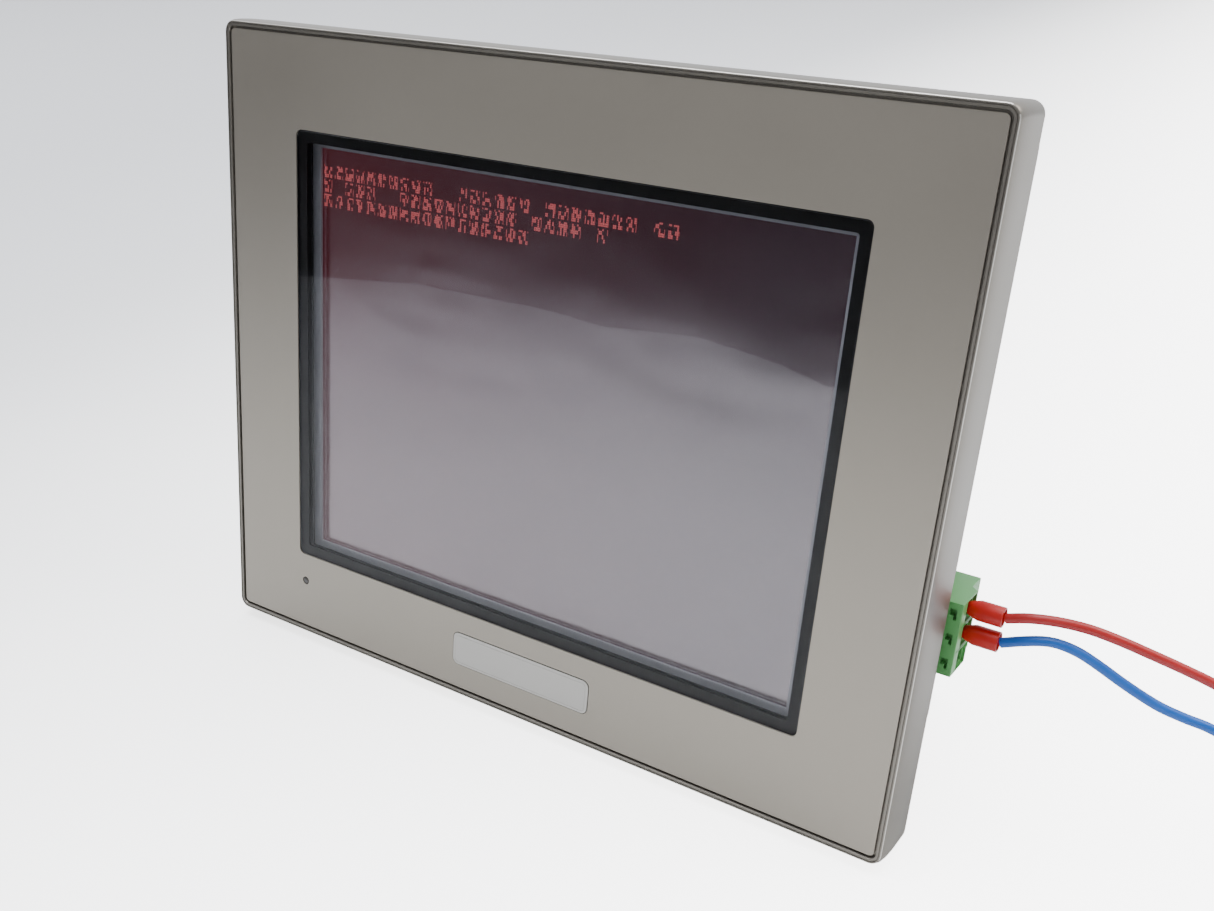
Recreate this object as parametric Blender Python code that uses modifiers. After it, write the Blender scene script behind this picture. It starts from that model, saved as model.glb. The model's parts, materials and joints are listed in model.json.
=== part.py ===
"""An operator touch panel for industrial machines, 171 x 138 x 60 mm, leaning back on its housing.

The unit is laid out upright in its own panel frame: X to the viewer's right, Y back from the
front face, Z up, with the origin at the centre of the front sheet. One empty then leans the
whole unit back until the bezel and the housing both touch the table, which is the plane Z = 0.
The two supply wires lie free, so they are laid out in world space, outside that empty.
"""

import math

import bmesh
import bpy
import numpy as np
from mathutils import Matrix, Vector

MM = 0.001
GAP = 0.3  # kept between pieces that touch, in millimetres, like every size below

# Front bezel
BEZEL_W, BEZEL_H, BEZEL_BACK = 171.0, 138.0, 13.5
RIM_FRONT = -0.3
RIM_LIP = 1.7
CORNER = 2.0
EDGE_ROUND = 1.5
SHEET = 0.4
SHEET_SEAT = 0.7
FRONT_PLATE_BACK = 3.2
RIM_GROOVE, RIM_GROOVE_DEPTH = (169.4, 136.4, 0.4), 0.3  # outer width and height, and width of the band
SEAL_GROOVE, SEAL_GROOVE_FRONT = (163.6, 131.1, 3.35), 11.5
CAVITY_W, CAVITY_H = 152.0, 119.0
BOSS_HOLE_R, BOSS_HOLE_FRONT = 1.8, 5.0

# Front sheet, window and display
OVERLAY_W, OVERLAY_H = 166.8, 133.8
BORDER_W, BORDER_H = 129.3, 96.6
CLEAR_W, CLEAR_H = 124.5, 91.8
TOUCH_W, TOUCH_H = 135.0, 102.4
VIEW_W, VIEW_H = 121.5, 90.0
MODULE_W, MODULE_H = 143.0, 103.0
TOUCH_FRONT, TOUCH_BACK = 1.25, 3.05
FOAM_FRONT, FOAM_BACK = 3.35, 3.6
FOAM_OPENING_W, FOAM_OPENING_H = 125.5, 92.8
MODULE_FRONT, MODULE_SKIN, MODULE_BACK = 3.9, 0.5, 11.5
CELL_W, CELL_H, CELL_FRONT, CELL_BACK = 132.0, 99.0, 4.7, 6.7
DIFFUSER_W, DIFFUSER_H, DIFFUSER_FRONT, DIFFUSER_BACK = 130.0, 97.0, 7.0, 7.3
GUIDE_HALF_W, GUIDE_FRONT, GUIDE_BACK, GUIDE_BOTTOM, GUIDE_TOP = 64.0, 7.6, 10.6, -44.5, 48.0
BACKLIGHT_R, BACKLIGHT_Y, BACKLIGHT_Z = 1.2, 9.1, -46.8
CHASSIS_W, CHASSIS_H, CHASSIS_FRONT, CHASSIS_BACK = 148.0, 102.8, 12.2, 13.2
BADGE_X, BADGE_Z, BADGE_W, BADGE_H = 0.2, -57.3, 35.7, 7.6
LAMP_X, LAMP_Z, LAMP_R = -62.9, -55.2, 0.75

# Rear housing
HOUSING_W, HOUSING_H, HOUSING_FRONT, HOUSING_BACK = 155.0, 122.5, 13.8, 60.0
WALL = 2.5
POST_X, POST_Z = 69.8, 55.3
POST_CLEAR_X, POST_CLEAR_Z = 66.5, 51.9
SLOPE_FRONT, SLOPE_HALF_W = 44.5, 73.5  # the sides lean in from here to this half width
DEEP_FRONT, DEEP_HALF_W = 45.0, 71.4
BAY_HALF_W, BAY_FRONT, BAY_CEILING = 60.0, 39.0, -42.0
SEAL, SEAL_FRONT, SEAL_BACK = (163.0, 130.5, 2.75), 11.8, 14.5
LABEL_W, LABEL_H, LABEL_Z = 56.0, 36.0, 16.0
SCREW_HEAD_R, SCREW_SHAFT_R, SCREW_HEAD_H, SCREW_LENGTH = 2.8, 1.5, 1.8, 51.0
SOCKET_Y, SERIAL_X, NETWORK_X, USB_X = 49.0, -34.0, 0.0, 24.0
BOARD = 1.6
THIN_BOARD = 1.2

# Power plug on the right side
POLE_PITCH = 5.08
POLES = 3
PLUG_Z = -27.1
PLUG_FRONT, PLUG_REAR, PLUG_END = 17.0, 32.5, 86.9
PLUG_HALF = 7.55
ENTRY_Y = 22.5
PLUG_TRAVEL_ROOM = 0.4
PLUG_INNER, TOWER_END, TOWER_INNER = 69.7, 85.5, 71.5
HEADER_FRONT, HEADER_REAR, HEADER_WALL = 17.9, 27.1, 0.9
CLAMP_X, CLAMP_TOP = 79.3, 30.6

# Card bay on the left side
CARD_Z, CARD_W = 18.0, 43.4
BAY_Y = (18.4, 43.6)
BAY_Z = (-9.0, 50.0)
BAY_FLOOR_X, TRAY_WALL = -69.0, 1.2
LEVER_Y = (32.2, 36.8)
DOOR_AXIS_X, DOOR_AXIS_Y = -76.25, 42.0
DOOR_ROUND = 1.15

# Supply wires
WIRE_R = 1.0
COLLAR_R, COLLAR_TIP_R, BARREL_R = 2.0, 1.1, 0.85
COLLAR_END, COLLAR_START, CONE_START, BARREL_START = 93.3, 88.6, 86.0, 78.0
COIL_X, COIL_IN, COIL_OUT, COIL_H = 198.0, 8.0, 14.0, 4.0
COIL_Y = {"red": 15.0, "blue": -17.0}
TIP_TURN = 13.0  # the radius at which the last turn leaves its coil

# The lean: bezel and housing have the same rounded edge, so their corners give the slope.
LEAN = math.atan2((BEZEL_H - HOUSING_H) / 2, HOUSING_BACK - BEZEL_BACK)
EDGE_CENTRE = (BEZEL_BACK - EDGE_ROUND, BEZEL_H / 2 - EDGE_ROUND)
LIFT = EDGE_ROUND + EDGE_CENTRE[0] * math.sin(LEAN) + EDGE_CENTRE[1] * math.cos(LEAN)
FRONT_EDGE_Y = RIM_FRONT * math.cos(LEAN) - BEZEL_H / 2 * math.sin(LEAN)
TOP_EDGE = (HOUSING_BACK - EDGE_ROUND, HOUSING_H / 2 - EDGE_ROUND)
REAR_EDGE_Y = TOP_EDGE[0] * math.cos(LEAN) + TOP_EDGE[1] * math.sin(LEAN) + EDGE_ROUND
MIDDLE_Y = (FRONT_EDGE_Y + REAR_EDGE_Y) / 2

AXES = {"X": Vector((1, 0, 0)), "Y": Vector((0, 1, 0)), "Z": Vector((0, 0, 1))}

# Looks: linear colour, roughness, then metallic and alpha where they aren't 0 and 1.
BLASTED_METAL = ((0.46, 0.45, 0.43), 0.38, 0.75)
PRINTED_FILM = ((0.33, 0.32, 0.29), 0.5)
CLEAR_FILM = ((0.6, 0.62, 0.64), 0.1, 0.0, 0.3)
TOUCH_GLASS = ((0.5, 0.53, 0.55), 0.08, 0.0, 0.35)
BLACK_INK = ((0.01, 0.01, 0.012), 0.35)
BADGE_METAL = ((0.45, 0.44, 0.41), 0.35, 0.4)
SMOKED_LENS = ((0.16, 0.15, 0.14), 0.3)
BLACK_FOAM = ((0.03, 0.03, 0.035), 0.9)
MODULE_STEEL = ((0.55, 0.55, 0.55), 0.35, 0.9)
DISPLAY_CELL = ((0.12, 0.06, 0.09), 0.12)
MILKY_FILM = ((0.85, 0.85, 0.84), 0.6)
CLEAR_ACRYLIC = ((0.85, 0.88, 0.9), 0.08)
LAMP_GLASS = ((0.9, 0.88, 0.84), 0.25)
ZINC_SHEET = ((0.6, 0.6, 0.58), 0.35, 0.9)
BLACK_RUBBER = ((0.02, 0.02, 0.02), 0.85)
HOUSING_RESIN = ((0.09, 0.09, 0.095), 0.55)
SCREW_STEEL = ((0.62, 0.61, 0.58), 0.3, 0.95)
LABEL_FILM = ((0.7, 0.7, 0.68), 0.4)
SOLDER_MASK = ((0.02, 0.16, 0.07), 0.45)
BLACK_EPOXY = ((0.02, 0.02, 0.022), 0.5)
BATTERY_STEEL = ((0.7, 0.7, 0.68), 0.25, 0.95)
YELLOW_TAPE = ((0.75, 0.55, 0.12), 0.5)
BLUE_SLEEVE = ((0.03, 0.04, 0.09), 0.35)
SOCKET_METAL = ((0.6, 0.6, 0.58), 0.3, 0.9)
DARK_RESIN = ((0.05, 0.05, 0.055), 0.55)
CARD_METAL = ((0.5, 0.5, 0.49), 0.35, 0.85)
RED_RESIN = ((0.35, 0.03, 0.03), 0.45)
WHITE_RESIN = ((0.8, 0.8, 0.78), 0.4)
HEADER_GREEN = ((0.05, 0.25, 0.06), 0.45)
PLUG_GREEN = ((0.09, 0.36, 0.09), 0.45)
CONTACT_TIN = ((0.7, 0.68, 0.62), 0.3, 0.95)
FERRULE_RED = ((0.6, 0.03, 0.03), 0.35)
WIRE_LOOKS = {"red": ((0.5, 0.03, 0.03), 0.4), "blue": ((0.02, 0.13, 0.55), 0.4)}


def clear_scene():
    for obj in list(bpy.data.objects):
        bpy.data.objects.remove(obj, do_unlink=True)


def new_collection(name):
    made = bpy.data.collections.new(name)
    bpy.context.scene.collection.children.link(made)
    return made


clear_scene()
PARTS = new_collection("hmi_touch_panel")
CUTTERS = new_collection("cutters")
CUTTERS.hide_render = True

UNIT = bpy.data.objects.new("leaning_unit", None)
PARTS.objects.link(UNIT)
UNIT.rotation_euler.x = -LEAN
UNIT.location = (0, -MIDDLE_Y * MM, LIFT * MM)


def finish(name, colour, roughness, metallic=0.0, alpha=1.0):
    """A Principled material for one piece."""
    made = bpy.data.materials.new(name)
    made.use_nodes = True
    shader = made.node_tree.nodes["Principled BSDF"]
    shader.inputs["Base Color"].default_value = (*colour, 1.0)
    shader.inputs["Roughness"].default_value = roughness
    shader.inputs["Metallic"].default_value = metallic
    shader.inputs["Alpha"].default_value = alpha
    made.diffuse_color = (*colour, alpha)
    return made


def add_object(name, data, look=None, at=(0, 0, 0), parent=UNIT):
    """Puts a mesh or curve in the scene, as a part if it has a look and as a cutter if not."""
    obj = bpy.data.objects.new(name, data)
    obj.parent = parent
    obj.location = Vector(at) * MM
    if look is None:
        CUTTERS.objects.link(obj)
        obj.hide_render = True
        obj.display_type = "WIRE"
        return obj
    PARTS.objects.link(obj)
    obj.data.materials.append(finish(name, *look))
    return obj


def as_mesh(name, bm):
    for vertex in bm.verts:
        vertex.co *= MM
    bmesh.ops.recalc_face_normals(bm, faces=bm.faces)
    mesh = bpy.data.meshes.new(name)
    bm.to_mesh(mesh)
    bm.free()
    return mesh


def add_box(bm, low, high):
    size = Vector(high) - Vector(low)
    middle = (Vector(high) + Vector(low)) / 2
    place = Matrix.Translation(middle) @ Matrix.Diagonal((*size, 1))
    return bmesh.ops.create_cube(bm, size=1, matrix=place)["verts"]


def edges_along(bm, axis):
    """The edges that run along one axis."""
    way = AXES[axis]
    return [
        edge
        for edge in bm.edges
        if abs((edge.verts[1].co - edge.verts[0].co).normalized().dot(way)) > 0.999
    ]


def block(name, low, high, look=None, rounded=0.0, along="Y", at=(0, 0, 0), segments=3):
    """A box between two corners, its edges along one axis rounded, its origin at a point."""
    bm = bmesh.new()
    add_box(bm, low, high)
    if rounded:
        bmesh.ops.bevel(
            bm,
            geom=edges_along(bm, along),
            offset=rounded,
            segments=segments,
            profile=0.5,
            affect="EDGES",
        )
    bmesh.ops.translate(bm, verts=bm.verts, vec=-Vector(at))
    return add_object(name, as_mesh(name, bm), look, at)


def plate(name, width, height, front, back, look=None, rounded=0.0, centre=(0, 0)):
    """A flat piece parallel to the front face, centred on a point of it."""
    x, z = centre
    low = (x - width / 2, front, z - height / 2)
    high = (x + width / 2, back, z + height / 2)
    return block(name, low, high, look, rounded)


def boxes(name, corners):
    """One cutter made of several separate boxes."""
    bm = bmesh.new()
    for low, high in corners:
        add_box(bm, low, high)
    return add_object(name, as_mesh(name, bm))


def rods(name, ends, radius, look=None, sides=16, at=(0, 0, 0)):
    """Straight round bars, each between two points, as one object."""
    bm = bmesh.new()
    for start, end in ends:
        start, end = Vector(start), Vector(end)
        turn = (end - start).to_track_quat("Z", "Y").to_matrix().to_4x4()
        bmesh.ops.create_cone(
            bm,
            cap_ends=True,
            segments=sides,
            radius1=radius,
            radius2=radius,
            depth=(end - start).length,
            matrix=Matrix.Translation((start + end) / 2 - Vector(at)) @ turn,
        )
    obj = add_object(name, as_mesh(name, bm), look, at)
    obj.data.shade_smooth()
    obj.data.set_sharp_from_angle(angle=math.radians(40))
    return obj


def turned(name, profile, look, at, axis, sides=16, parent=UNIT):
    """A turned piece. Its profile is (radius, height) from the top down, and height runs along axis."""
    mesh = bpy.data.meshes.new(name)
    points = [(radius * MM, 0, height * MM) for radius, height in profile]
    mesh.from_pydata(points, [(i, i + 1) for i in range(len(points) - 1)], [])
    obj = add_object(name, mesh, look, at, parent)
    obj.rotation_euler = Vector(axis).to_track_quat("Z", "Y").to_euler()
    screw = obj.modifiers.new("turn", "SCREW")
    screw.axis = "Z"
    screw.steps = screw.render_steps = sides
    screw.use_merge_vertices = True
    screw.merge_threshold = 0.00001
    return obj


def prism(name, points, low, high, look=None):
    """A flat outline in the XY plane, drawn as a filled curve and raised from low to high along Z."""
    curve = bpy.data.curves.new(name, "CURVE")
    curve.dimensions = "2D"
    curve.fill_mode = "BOTH"
    curve.extrude = (high - low) / 2 * MM
    spline = curve.splines.new("POLY")
    spline.points.add(len(points) - 1)
    for point, (x, y) in zip(spline.points, points):
        point.co = (x * MM, y * MM, 0, 1)
    spline.use_cyclic_u = True
    drawn = bpy.data.objects.new(name + "_outline", curve)
    CUTTERS.objects.link(drawn)
    graph = bpy.context.evaluated_depsgraph_get()
    mesh = bpy.data.meshes.new_from_object(drawn.evaluated_get(graph))
    bpy.data.objects.remove(drawn)
    bm = bmesh.new()
    bm.from_mesh(mesh)
    bpy.data.meshes.remove(mesh)
    bmesh.ops.remove_doubles(bm, verts=bm.verts, dist=0.00001)
    for vertex in bm.verts:
        vertex.co /= MM
        vertex.co.z += (low + high) / 2
    return add_object(name, as_mesh(name, bm), look)


def combine(target, tool, operation):
    change = target.modifiers.new(tool.name, "BOOLEAN")
    change.operation = operation
    change.object = tool
    change.solver = "EXACT"


def cut(target, *tools):
    for tool in tools:
        combine(target, tool, "DIFFERENCE")


def join(target, *tools):
    for tool in tools:
        combine(target, tool, "UNION")


def ring(name, outer, inner, front, back, look=None, rounded=(0.0, 0.0)):
    """A flat rectangular ring: a plate with a smaller opening through it."""
    obj = plate(name, *outer, front, back, look, rounded[0])
    cut(obj, plate(name + "_opening", *inner, front - 1, back + 1, None, rounded[1]))
    return obj


def band(name, width, height, thickness, front, back, look=None, rounded=(0.0, 0.0)):
    """A rectangular ring given by its outside and the width of its band."""
    inner = (width - 2 * thickness, height - 2 * thickness)
    return ring(name, (width, height), inner, front, back, look, rounded)


def corners4(x, z):
    return [(x, z), (-x, z), (-x, -z), (x, -z)]


def pole_heights():
    """The poles' heights, the top one first."""
    return [PLUG_Z + POLE_PITCH * (1 - number) for number in range(POLES)]


# ---------------------------------------------------------------- front of the unit


def make_bezel():
    """The metallic front frame, with the sheet's seat in front and the gasket's groove behind."""
    low = (-BEZEL_W / 2, RIM_FRONT, -BEZEL_H / 2)
    high = (BEZEL_W / 2, BEZEL_BACK, BEZEL_H / 2)
    bezel = block("bezel_frame", low, high, BLASTED_METAL, CORNER)
    round_rear_edge(bezel)
    seat_w, seat_h = BEZEL_W - 2 * RIM_LIP, BEZEL_H - 2 * RIM_LIP
    rim_back = RIM_FRONT + RIM_GROOVE_DEPTH
    bosses = [((x, BOSS_HOLE_FRONT, z), (x, BEZEL_BACK + 1.5, z)) for x, z in corners4(POST_X, POST_Z)]
    cut(
        bezel,
        plate("sheet_seat", seat_w, seat_h, RIM_FRONT - 1, SHEET_SEAT, None, 1.2),
        plate("touch_opening", TOUCH_W + 1, TOUCH_H + 1, -1, 5, None, 1.0),
        plate("cavity_wide", CAVITY_W, 2 * POST_CLEAR_Z, FRONT_PLATE_BACK, BEZEL_BACK + 1),
        plate("cavity_tall", 2 * POST_CLEAR_X, CAVITY_H, FRONT_PLATE_BACK, BEZEL_BACK + 2),
        band("seal_groove", *SEAL_GROOVE, SEAL_GROOVE_FRONT, BEZEL_BACK + 3),
        band("rim_groove", *RIM_GROOVE, RIM_FRONT - 1, rim_back),
        rods("bezel_screw_holes", bosses, BOSS_HOLE_R),
        rods("status_hole", [((LAMP_X, -1, LAMP_Z), (LAMP_X, 6, LAMP_Z))], 1.2),
    )
    return bezel


def round_rear_edge(obj):
    """Rounds the outline of a block where it meets the block's back face."""
    bm = bmesh.new()
    bm.from_mesh(obj.data)
    back = max(vertex.co.y for vertex in bm.verts)
    edges = [edge for edge in bm.edges if all(abs(v.co.y - back) < 1e-6 for v in edge.verts)]
    bmesh.ops.bevel(
        bm, geom=edges, offset=EDGE_ROUND * MM, segments=3, profile=0.5, affect="EDGES"
    )
    bm.to_mesh(obj.data)
    bm.free()


def make_front_sheet():
    """The printed polyester sheet, its clear window, the dark border behind it and the badge."""
    overlay = plate(
        "front_overlay", OVERLAY_W, OVERLAY_H, 0, SHEET, PRINTED_FILM, 1.0
    )
    cut(
        overlay,
        plate("window_opening", BORDER_W + 0.2, BORDER_H + 0.2, -1, 1, None, 1.3),
        plate(
            "badge_opening", BADGE_W + 2 * GAP, BADGE_H + 2 * GAP, -1, 1, None, 1.8, (BADGE_X, BADGE_Z)
        ),
        rods("lens_opening", [((LAMP_X, -1, LAMP_Z), (LAMP_X, 1, LAMP_Z))], LAMP_R + GAP),
    )
    sheet_w, sheet_h = BORDER_W - 2 * GAP + 0.2, BORDER_H - 2 * GAP + 0.2
    plate("window_sheet", sheet_w, sheet_h, 0, SHEET, CLEAR_FILM, 1.2)
    border_front = SHEET + GAP
    ring(
        "window_border",
        (sheet_w, sheet_h),
        (CLEAR_W, CLEAR_H),
        border_front,
        border_front + 0.25,
        BLACK_INK,
        (1.2, 0.6),
    )
    plate(
        "badge_plate",
        BADGE_W,
        BADGE_H,
        0.1,
        SHEET,
        BADGE_METAL,
        1.5,
        (BADGE_X, BADGE_Z),
    )
    lens_ends = [((LAMP_X, 0, LAMP_Z), (LAMP_X, 12, LAMP_Z))]
    rods("status_lens", lens_ends, LAMP_R, SMOKED_LENS, sides=12)


def make_display():
    """The layers behind the window, from the touch glass back to the plate that holds them."""
    plate("touch_panel", TOUCH_W, TOUCH_H, TOUCH_FRONT, TOUCH_BACK, TOUCH_GLASS)
    foam = (TOUCH_W - 1, TOUCH_H - 1)
    opening = (FOAM_OPENING_W, FOAM_OPENING_H)
    ring("touch_gasket", foam, opening, FOAM_FRONT, FOAM_BACK, BLACK_FOAM)
    frame = plate("lcd_frame", MODULE_W, MODULE_H, MODULE_FRONT, MODULE_BACK, MODULE_STEEL)
    pocket_w, pocket_h = MODULE_W - 1.2, MODULE_H - 1.2
    cut(
        frame,
        plate("module_pocket", pocket_w, pocket_h, MODULE_FRONT + MODULE_SKIN, MODULE_BACK + 1.5),
        plate("view_opening", VIEW_W, VIEW_H, MODULE_FRONT - 1, CELL_BACK),
    )
    plate("lcd_glass", CELL_W, CELL_H, CELL_FRONT, CELL_BACK, DISPLAY_CELL)
    plate("diffuser_sheet", DIFFUSER_W, DIFFUSER_H, DIFFUSER_FRONT, DIFFUSER_BACK, MILKY_FILM)
    guide_low = (-GUIDE_HALF_W, GUIDE_FRONT, GUIDE_BOTTOM)
    block("light_guide", guide_low, (GUIDE_HALF_W, GUIDE_BACK, GUIDE_TOP), CLEAR_ACRYLIC)
    lamp_half = GUIDE_HALF_W - 1
    lamp_ends = [((-lamp_half, BACKLIGHT_Y, BACKLIGHT_Z), (lamp_half, BACKLIGHT_Y, BACKLIGHT_Z))]
    rods("backlight_lamp", lamp_ends, BACKLIGHT_R, LAMP_GLASS, sides=12)
    make_chassis()


def make_chassis():
    """The sheet-metal plate behind the display, with slots for its cables."""
    chassis = plate("chassis_plate", CHASSIS_W, CHASSIS_H, CHASSIS_FRONT, CHASSIS_BACK, ZINC_SHEET)
    before, behind, slot_h = CHASSIS_FRONT - 1, CHASSIS_BACK + 1, 6
    cut(
        chassis,
        plate("cable_slot", 40, slot_h, before, behind, None, 2.0, (-30, 40)),
        plate("lamp_lead_slot", 14, slot_h, before, behind, None, 2.0, (60, -40)),
    )


# ---------------------------------------------------------------- rear of the unit


def make_gasket():
    band("panel_gasket", *SEAL, SEAL_FRONT, SEAL_BACK, BLACK_RUBBER, (3.0, 0.6))


def make_housing():
    """The moulded tub behind the panel, with posts for its screws and a bay for the sockets."""
    half_w, half_h = HOUSING_W / 2, HOUSING_H / 2
    housing = block(
        "rear_housing",
        (-half_w, HOUSING_FRONT, -half_h),
        (half_w, HOUSING_BACK, half_h),
        HOUSING_RESIN,
        3.0,
    )
    round_rear_edge(housing)
    for side in (1, -1):
        cut(housing, side_wedge(side, half_w, half_h))
    hollow_housing(housing, half_w - WALL, half_h - WALL)
    open_housing(housing, half_w, half_h)
    vent_housing(housing)


def side_wedge(side, half_w, half_h):
    """What is taken off the tub's side, so that it leans in towards the back."""
    lean_in = (half_w - SLOPE_HALF_W) / (HOUSING_BACK - SLOPE_FRONT)
    outline = [
        (side * (half_w + lean_in), SLOPE_FRONT - 1),
        (side * (SLOPE_HALF_W - lean_in), HOUSING_BACK + 1),
        (side * (half_w + 2), HOUSING_BACK + 1),
        (side * (half_w + 2), SLOPE_FRONT - 1),
    ]
    return prism("side_wedge", outline, -half_h - 1, half_h + 1)


def hollow_housing(housing, inner_w, inner_h):
    """The inside of the tub. Crossing boxes leave a post in each corner and the bay's walls."""
    front, back = HOUSING_FRONT - 1, HOUSING_BACK - WALL
    above_bay, before_bay = BAY_CEILING + WALL, BAY_FRONT - WALL
    beside_bay = BAY_HALF_W + WALL
    hollows = {
        "hollow_wide": ((-inner_w, front, above_bay), (inner_w, DEEP_FRONT, POST_CLEAR_Z)),
        "hollow_deep": (
            (-DEEP_HALF_W, DEEP_FRONT - 5, above_bay + 0.3),
            (DEEP_HALF_W, back, POST_CLEAR_Z - 0.3),
        ),
        "hollow_top": ((-POST_CLEAR_X, front - 1, 0), (POST_CLEAR_X, back - 0.5, inner_h)),
        "hollow_low": ((-inner_w, front - 2, -POST_CLEAR_Z), (inner_w, before_bay, 0)),
        "hollow_base": ((-POST_CLEAR_X, front - 3, -inner_h), (POST_CLEAR_X, before_bay - 0.5, 0)),
        "hollow_left": ((-DEEP_HALF_W, 20, -POST_CLEAR_Z), (-beside_bay, back - 1, 0)),
        "hollow_right": ((beside_bay, 20, -POST_CLEAR_Z), (DEEP_HALF_W, back - 1, 0)),
    }
    for name, (low, high) in hollows.items():
        cut(housing, block(name, low, high))


def open_housing(housing, half_w, half_h):
    """The bay for the sockets, the way in for plug and card, and the holes of screws and clips."""
    plug_room = PLUG_HALF + 0.45
    hinge_low = (DOOR_AXIS_X, DOOR_AXIS_Y, BAY_Z[0] - 2)
    hinge_high = (DOOR_AXIS_X, DOOR_AXIS_Y, BAY_Z[1] + 2)
    recess = HOUSING_BACK - 0.9
    cut(
        housing,
        block(
            "socket_bay",
            (-BAY_HALF_W, BAY_FRONT, -half_h - 1),
            (BAY_HALF_W, HOUSING_BACK + 1, BAY_CEILING),
        ),
        block(
            "plug_way",
            (half_w - WALL - 1, PLUG_FRONT - 0.5, PLUG_Z - plug_room),
            (half_w + 1, PLUG_REAR + 0.5, PLUG_Z + plug_room),
        ),
        block(
            "card_window",
            (-half_w - 1, BAY_Y[0], BAY_Z[0]),
            (-half_w + WALL + 1, BAY_Y[1], BAY_Z[1]),
        ),
        rods("hinge_holes", [(hinge_low, hinge_high)], 0.7, sides=8),
        boxes("clip_slots", clip_slots(half_h)),
        boxes("socket_ways", socket_ways()),
        plate("label_recess", LABEL_W + 1, LABEL_H + 1, recess, HOUSING_BACK + 1, None, 1.0, (0, LABEL_Z)),
        rods("housing_screw_holes", through_posts(10, HOUSING_BACK - 1), BOSS_HOLE_R),
        rods("screw_head_holes", through_posts(HOUSING_BACK - 3.2, HOUSING_BACK + 1), 3.2),
    )


def through_posts(front, back):
    return [((x, front, z), (x, back, z)) for x, z in corners4(POST_X, POST_Z)]


def clip_slots(half_h):
    """Slots for the clips that clamp the unit to a cabinet's panel, two above and two below."""
    front, back, half_w = 17, 23.5, 7
    found = []
    for x in (-52, 52):
        found.append(((x - half_w, front, half_h - WALL - 1), (x + half_w, back, half_h + 1)))
        found.append(((x - half_w, front, -half_h - 1), (x + half_w, back, -half_h + WALL + 1)))
    return found


def socket_ways():
    """Holes in the bay's ceiling for the serial, network and USB sockets."""
    low, high = BAY_CEILING - 1, BAY_CEILING + WALL + 1
    half_sizes = {SERIAL_X: (8.2, 3.9), NETWORK_X: (8.6, 7.2), USB_X: (7.4, 3.7)}
    return [
        ((x - half_x, SOCKET_Y - half_y, low), (x + half_x, SOCKET_Y + half_y, high))
        for x, (half_x, half_y) in half_sizes.items()
    ]


def vent_housing(housing):
    """Cooling slots in the top, in the bottom ahead of the bay, and in the back beside the label."""
    half_h, half_slot, pitch = HOUSING_H / 2, 1.2, 6
    columns = range(-36, 37, pitch)
    rows = range(-22, 47, pitch)
    top_low, bottom_high, back_front = half_h - WALL - 1, -half_h + WALL + 1, HOUSING_BACK - WALL - 1
    cut(
        housing,
        boxes(
            "top_vents",
            [((x - half_slot, 29, top_low), (x + half_slot, 49, half_h + 1)) for x in columns],
        ),
        boxes(
            "bottom_vents",
            [((x - half_slot, 20, -half_h - 1), (x + half_slot, 33, bottom_high)) for x in columns],
        ),
        boxes(
            "back_vents",
            [
                ((x - 10, back_front, z - 1.1), (x + 10, HOUSING_BACK + 1, z + 1.1))
                for x in (-48, 48)
                for z in rows
            ],
        ),
    )


def make_case_screws():
    """Long pan-head screws through the housing's posts into the bezel."""
    back = HOUSING_BACK - 1.0
    depth, reach, half_slot = 1.0, 1.9, 0.4
    profile = [
        (0, 0),
        (SCREW_HEAD_R - 0.5, 0),
        (SCREW_HEAD_R, -0.6),
        (SCREW_HEAD_R, -SCREW_HEAD_H),
        (SCREW_SHAFT_R, -SCREW_HEAD_H),
        (SCREW_SHAFT_R, -SCREW_LENGTH),
        (0, -SCREW_LENGTH),
    ]
    for number, (x, z) in enumerate(corners4(POST_X, POST_Z), 1):
        screw = turned(f"case_screw_{number}", profile, SCREW_STEEL, (x, back, z), (0, 1, 0), 12)
        for slot, half_x, half_z in (("slot", reach, half_slot), ("cross", half_slot, reach)):
            low, high = (x - half_x, back - depth, z - half_z), (x + half_x, back + 1, z + half_z)
            cut(screw, block(f"drive_{slot}_{number}", low, high))


def make_rating_plate():
    back = HOUSING_BACK - 0.3
    plate("rating_plate", LABEL_W, LABEL_H, back - 0.3, back, LABEL_FILM, 0.8, (0, LABEL_Z))


# ---------------------------------------------------------------- electronics


def board(name, low, width, height, thickness=BOARD):
    """A circuit board parallel to the front, from its low corner."""
    x, y, z = low
    return block(name, low, (x + width, y + thickness, z + height), SOLDER_MASK)


def make_boards():
    """The circuit boards and the largest pieces on them."""
    main_front = 18.0
    main = board("main_board", (-68.5, main_front, -50), 116.5, 100)
    cut(main, plate("board_notch", 24, 12, main_front - 1, main_front + BOARD + 1.4, None, 2.0, (36, 46)))
    on_main = main_front + BOARD + GAP
    block("processor_chip", (-24, on_main, -20), (0, on_main + 2, 4), BLACK_EPOXY, 0.5)
    cell = [((22, on_main, 28), (22, on_main + 3.2, 28))]
    rods("backup_battery", cell, 10, BATTERY_STEEL, sides=24)
    inverter_front = 24.0
    board("inverter_board", (-50, inverter_front, -56), 80, 15, THIN_BOARD)
    on_inverter = inverter_front + THIN_BOARD + GAP
    coil_low, coil_high = (-44, on_inverter, -54), (-30, on_inverter + 8, -43)
    block("inverter_transformer", coil_low, coil_high, YELLOW_TAPE, 0.8)
    board("interface_board", (-58, 38, -36.5), 116, 38.5)
    power_front, can_x, can_z = 27.6, 60, 10.5
    board("power_board", (30, power_front, -50), 38.8, 68, THIN_BOARD)
    can_front = power_front + THIN_BOARD + GAP
    can = [((can_x, can_front, can_z), (can_x, 46, can_z))]
    rods("power_capacitor", can, 6, BLUE_SLEEVE, sides=20)


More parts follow.
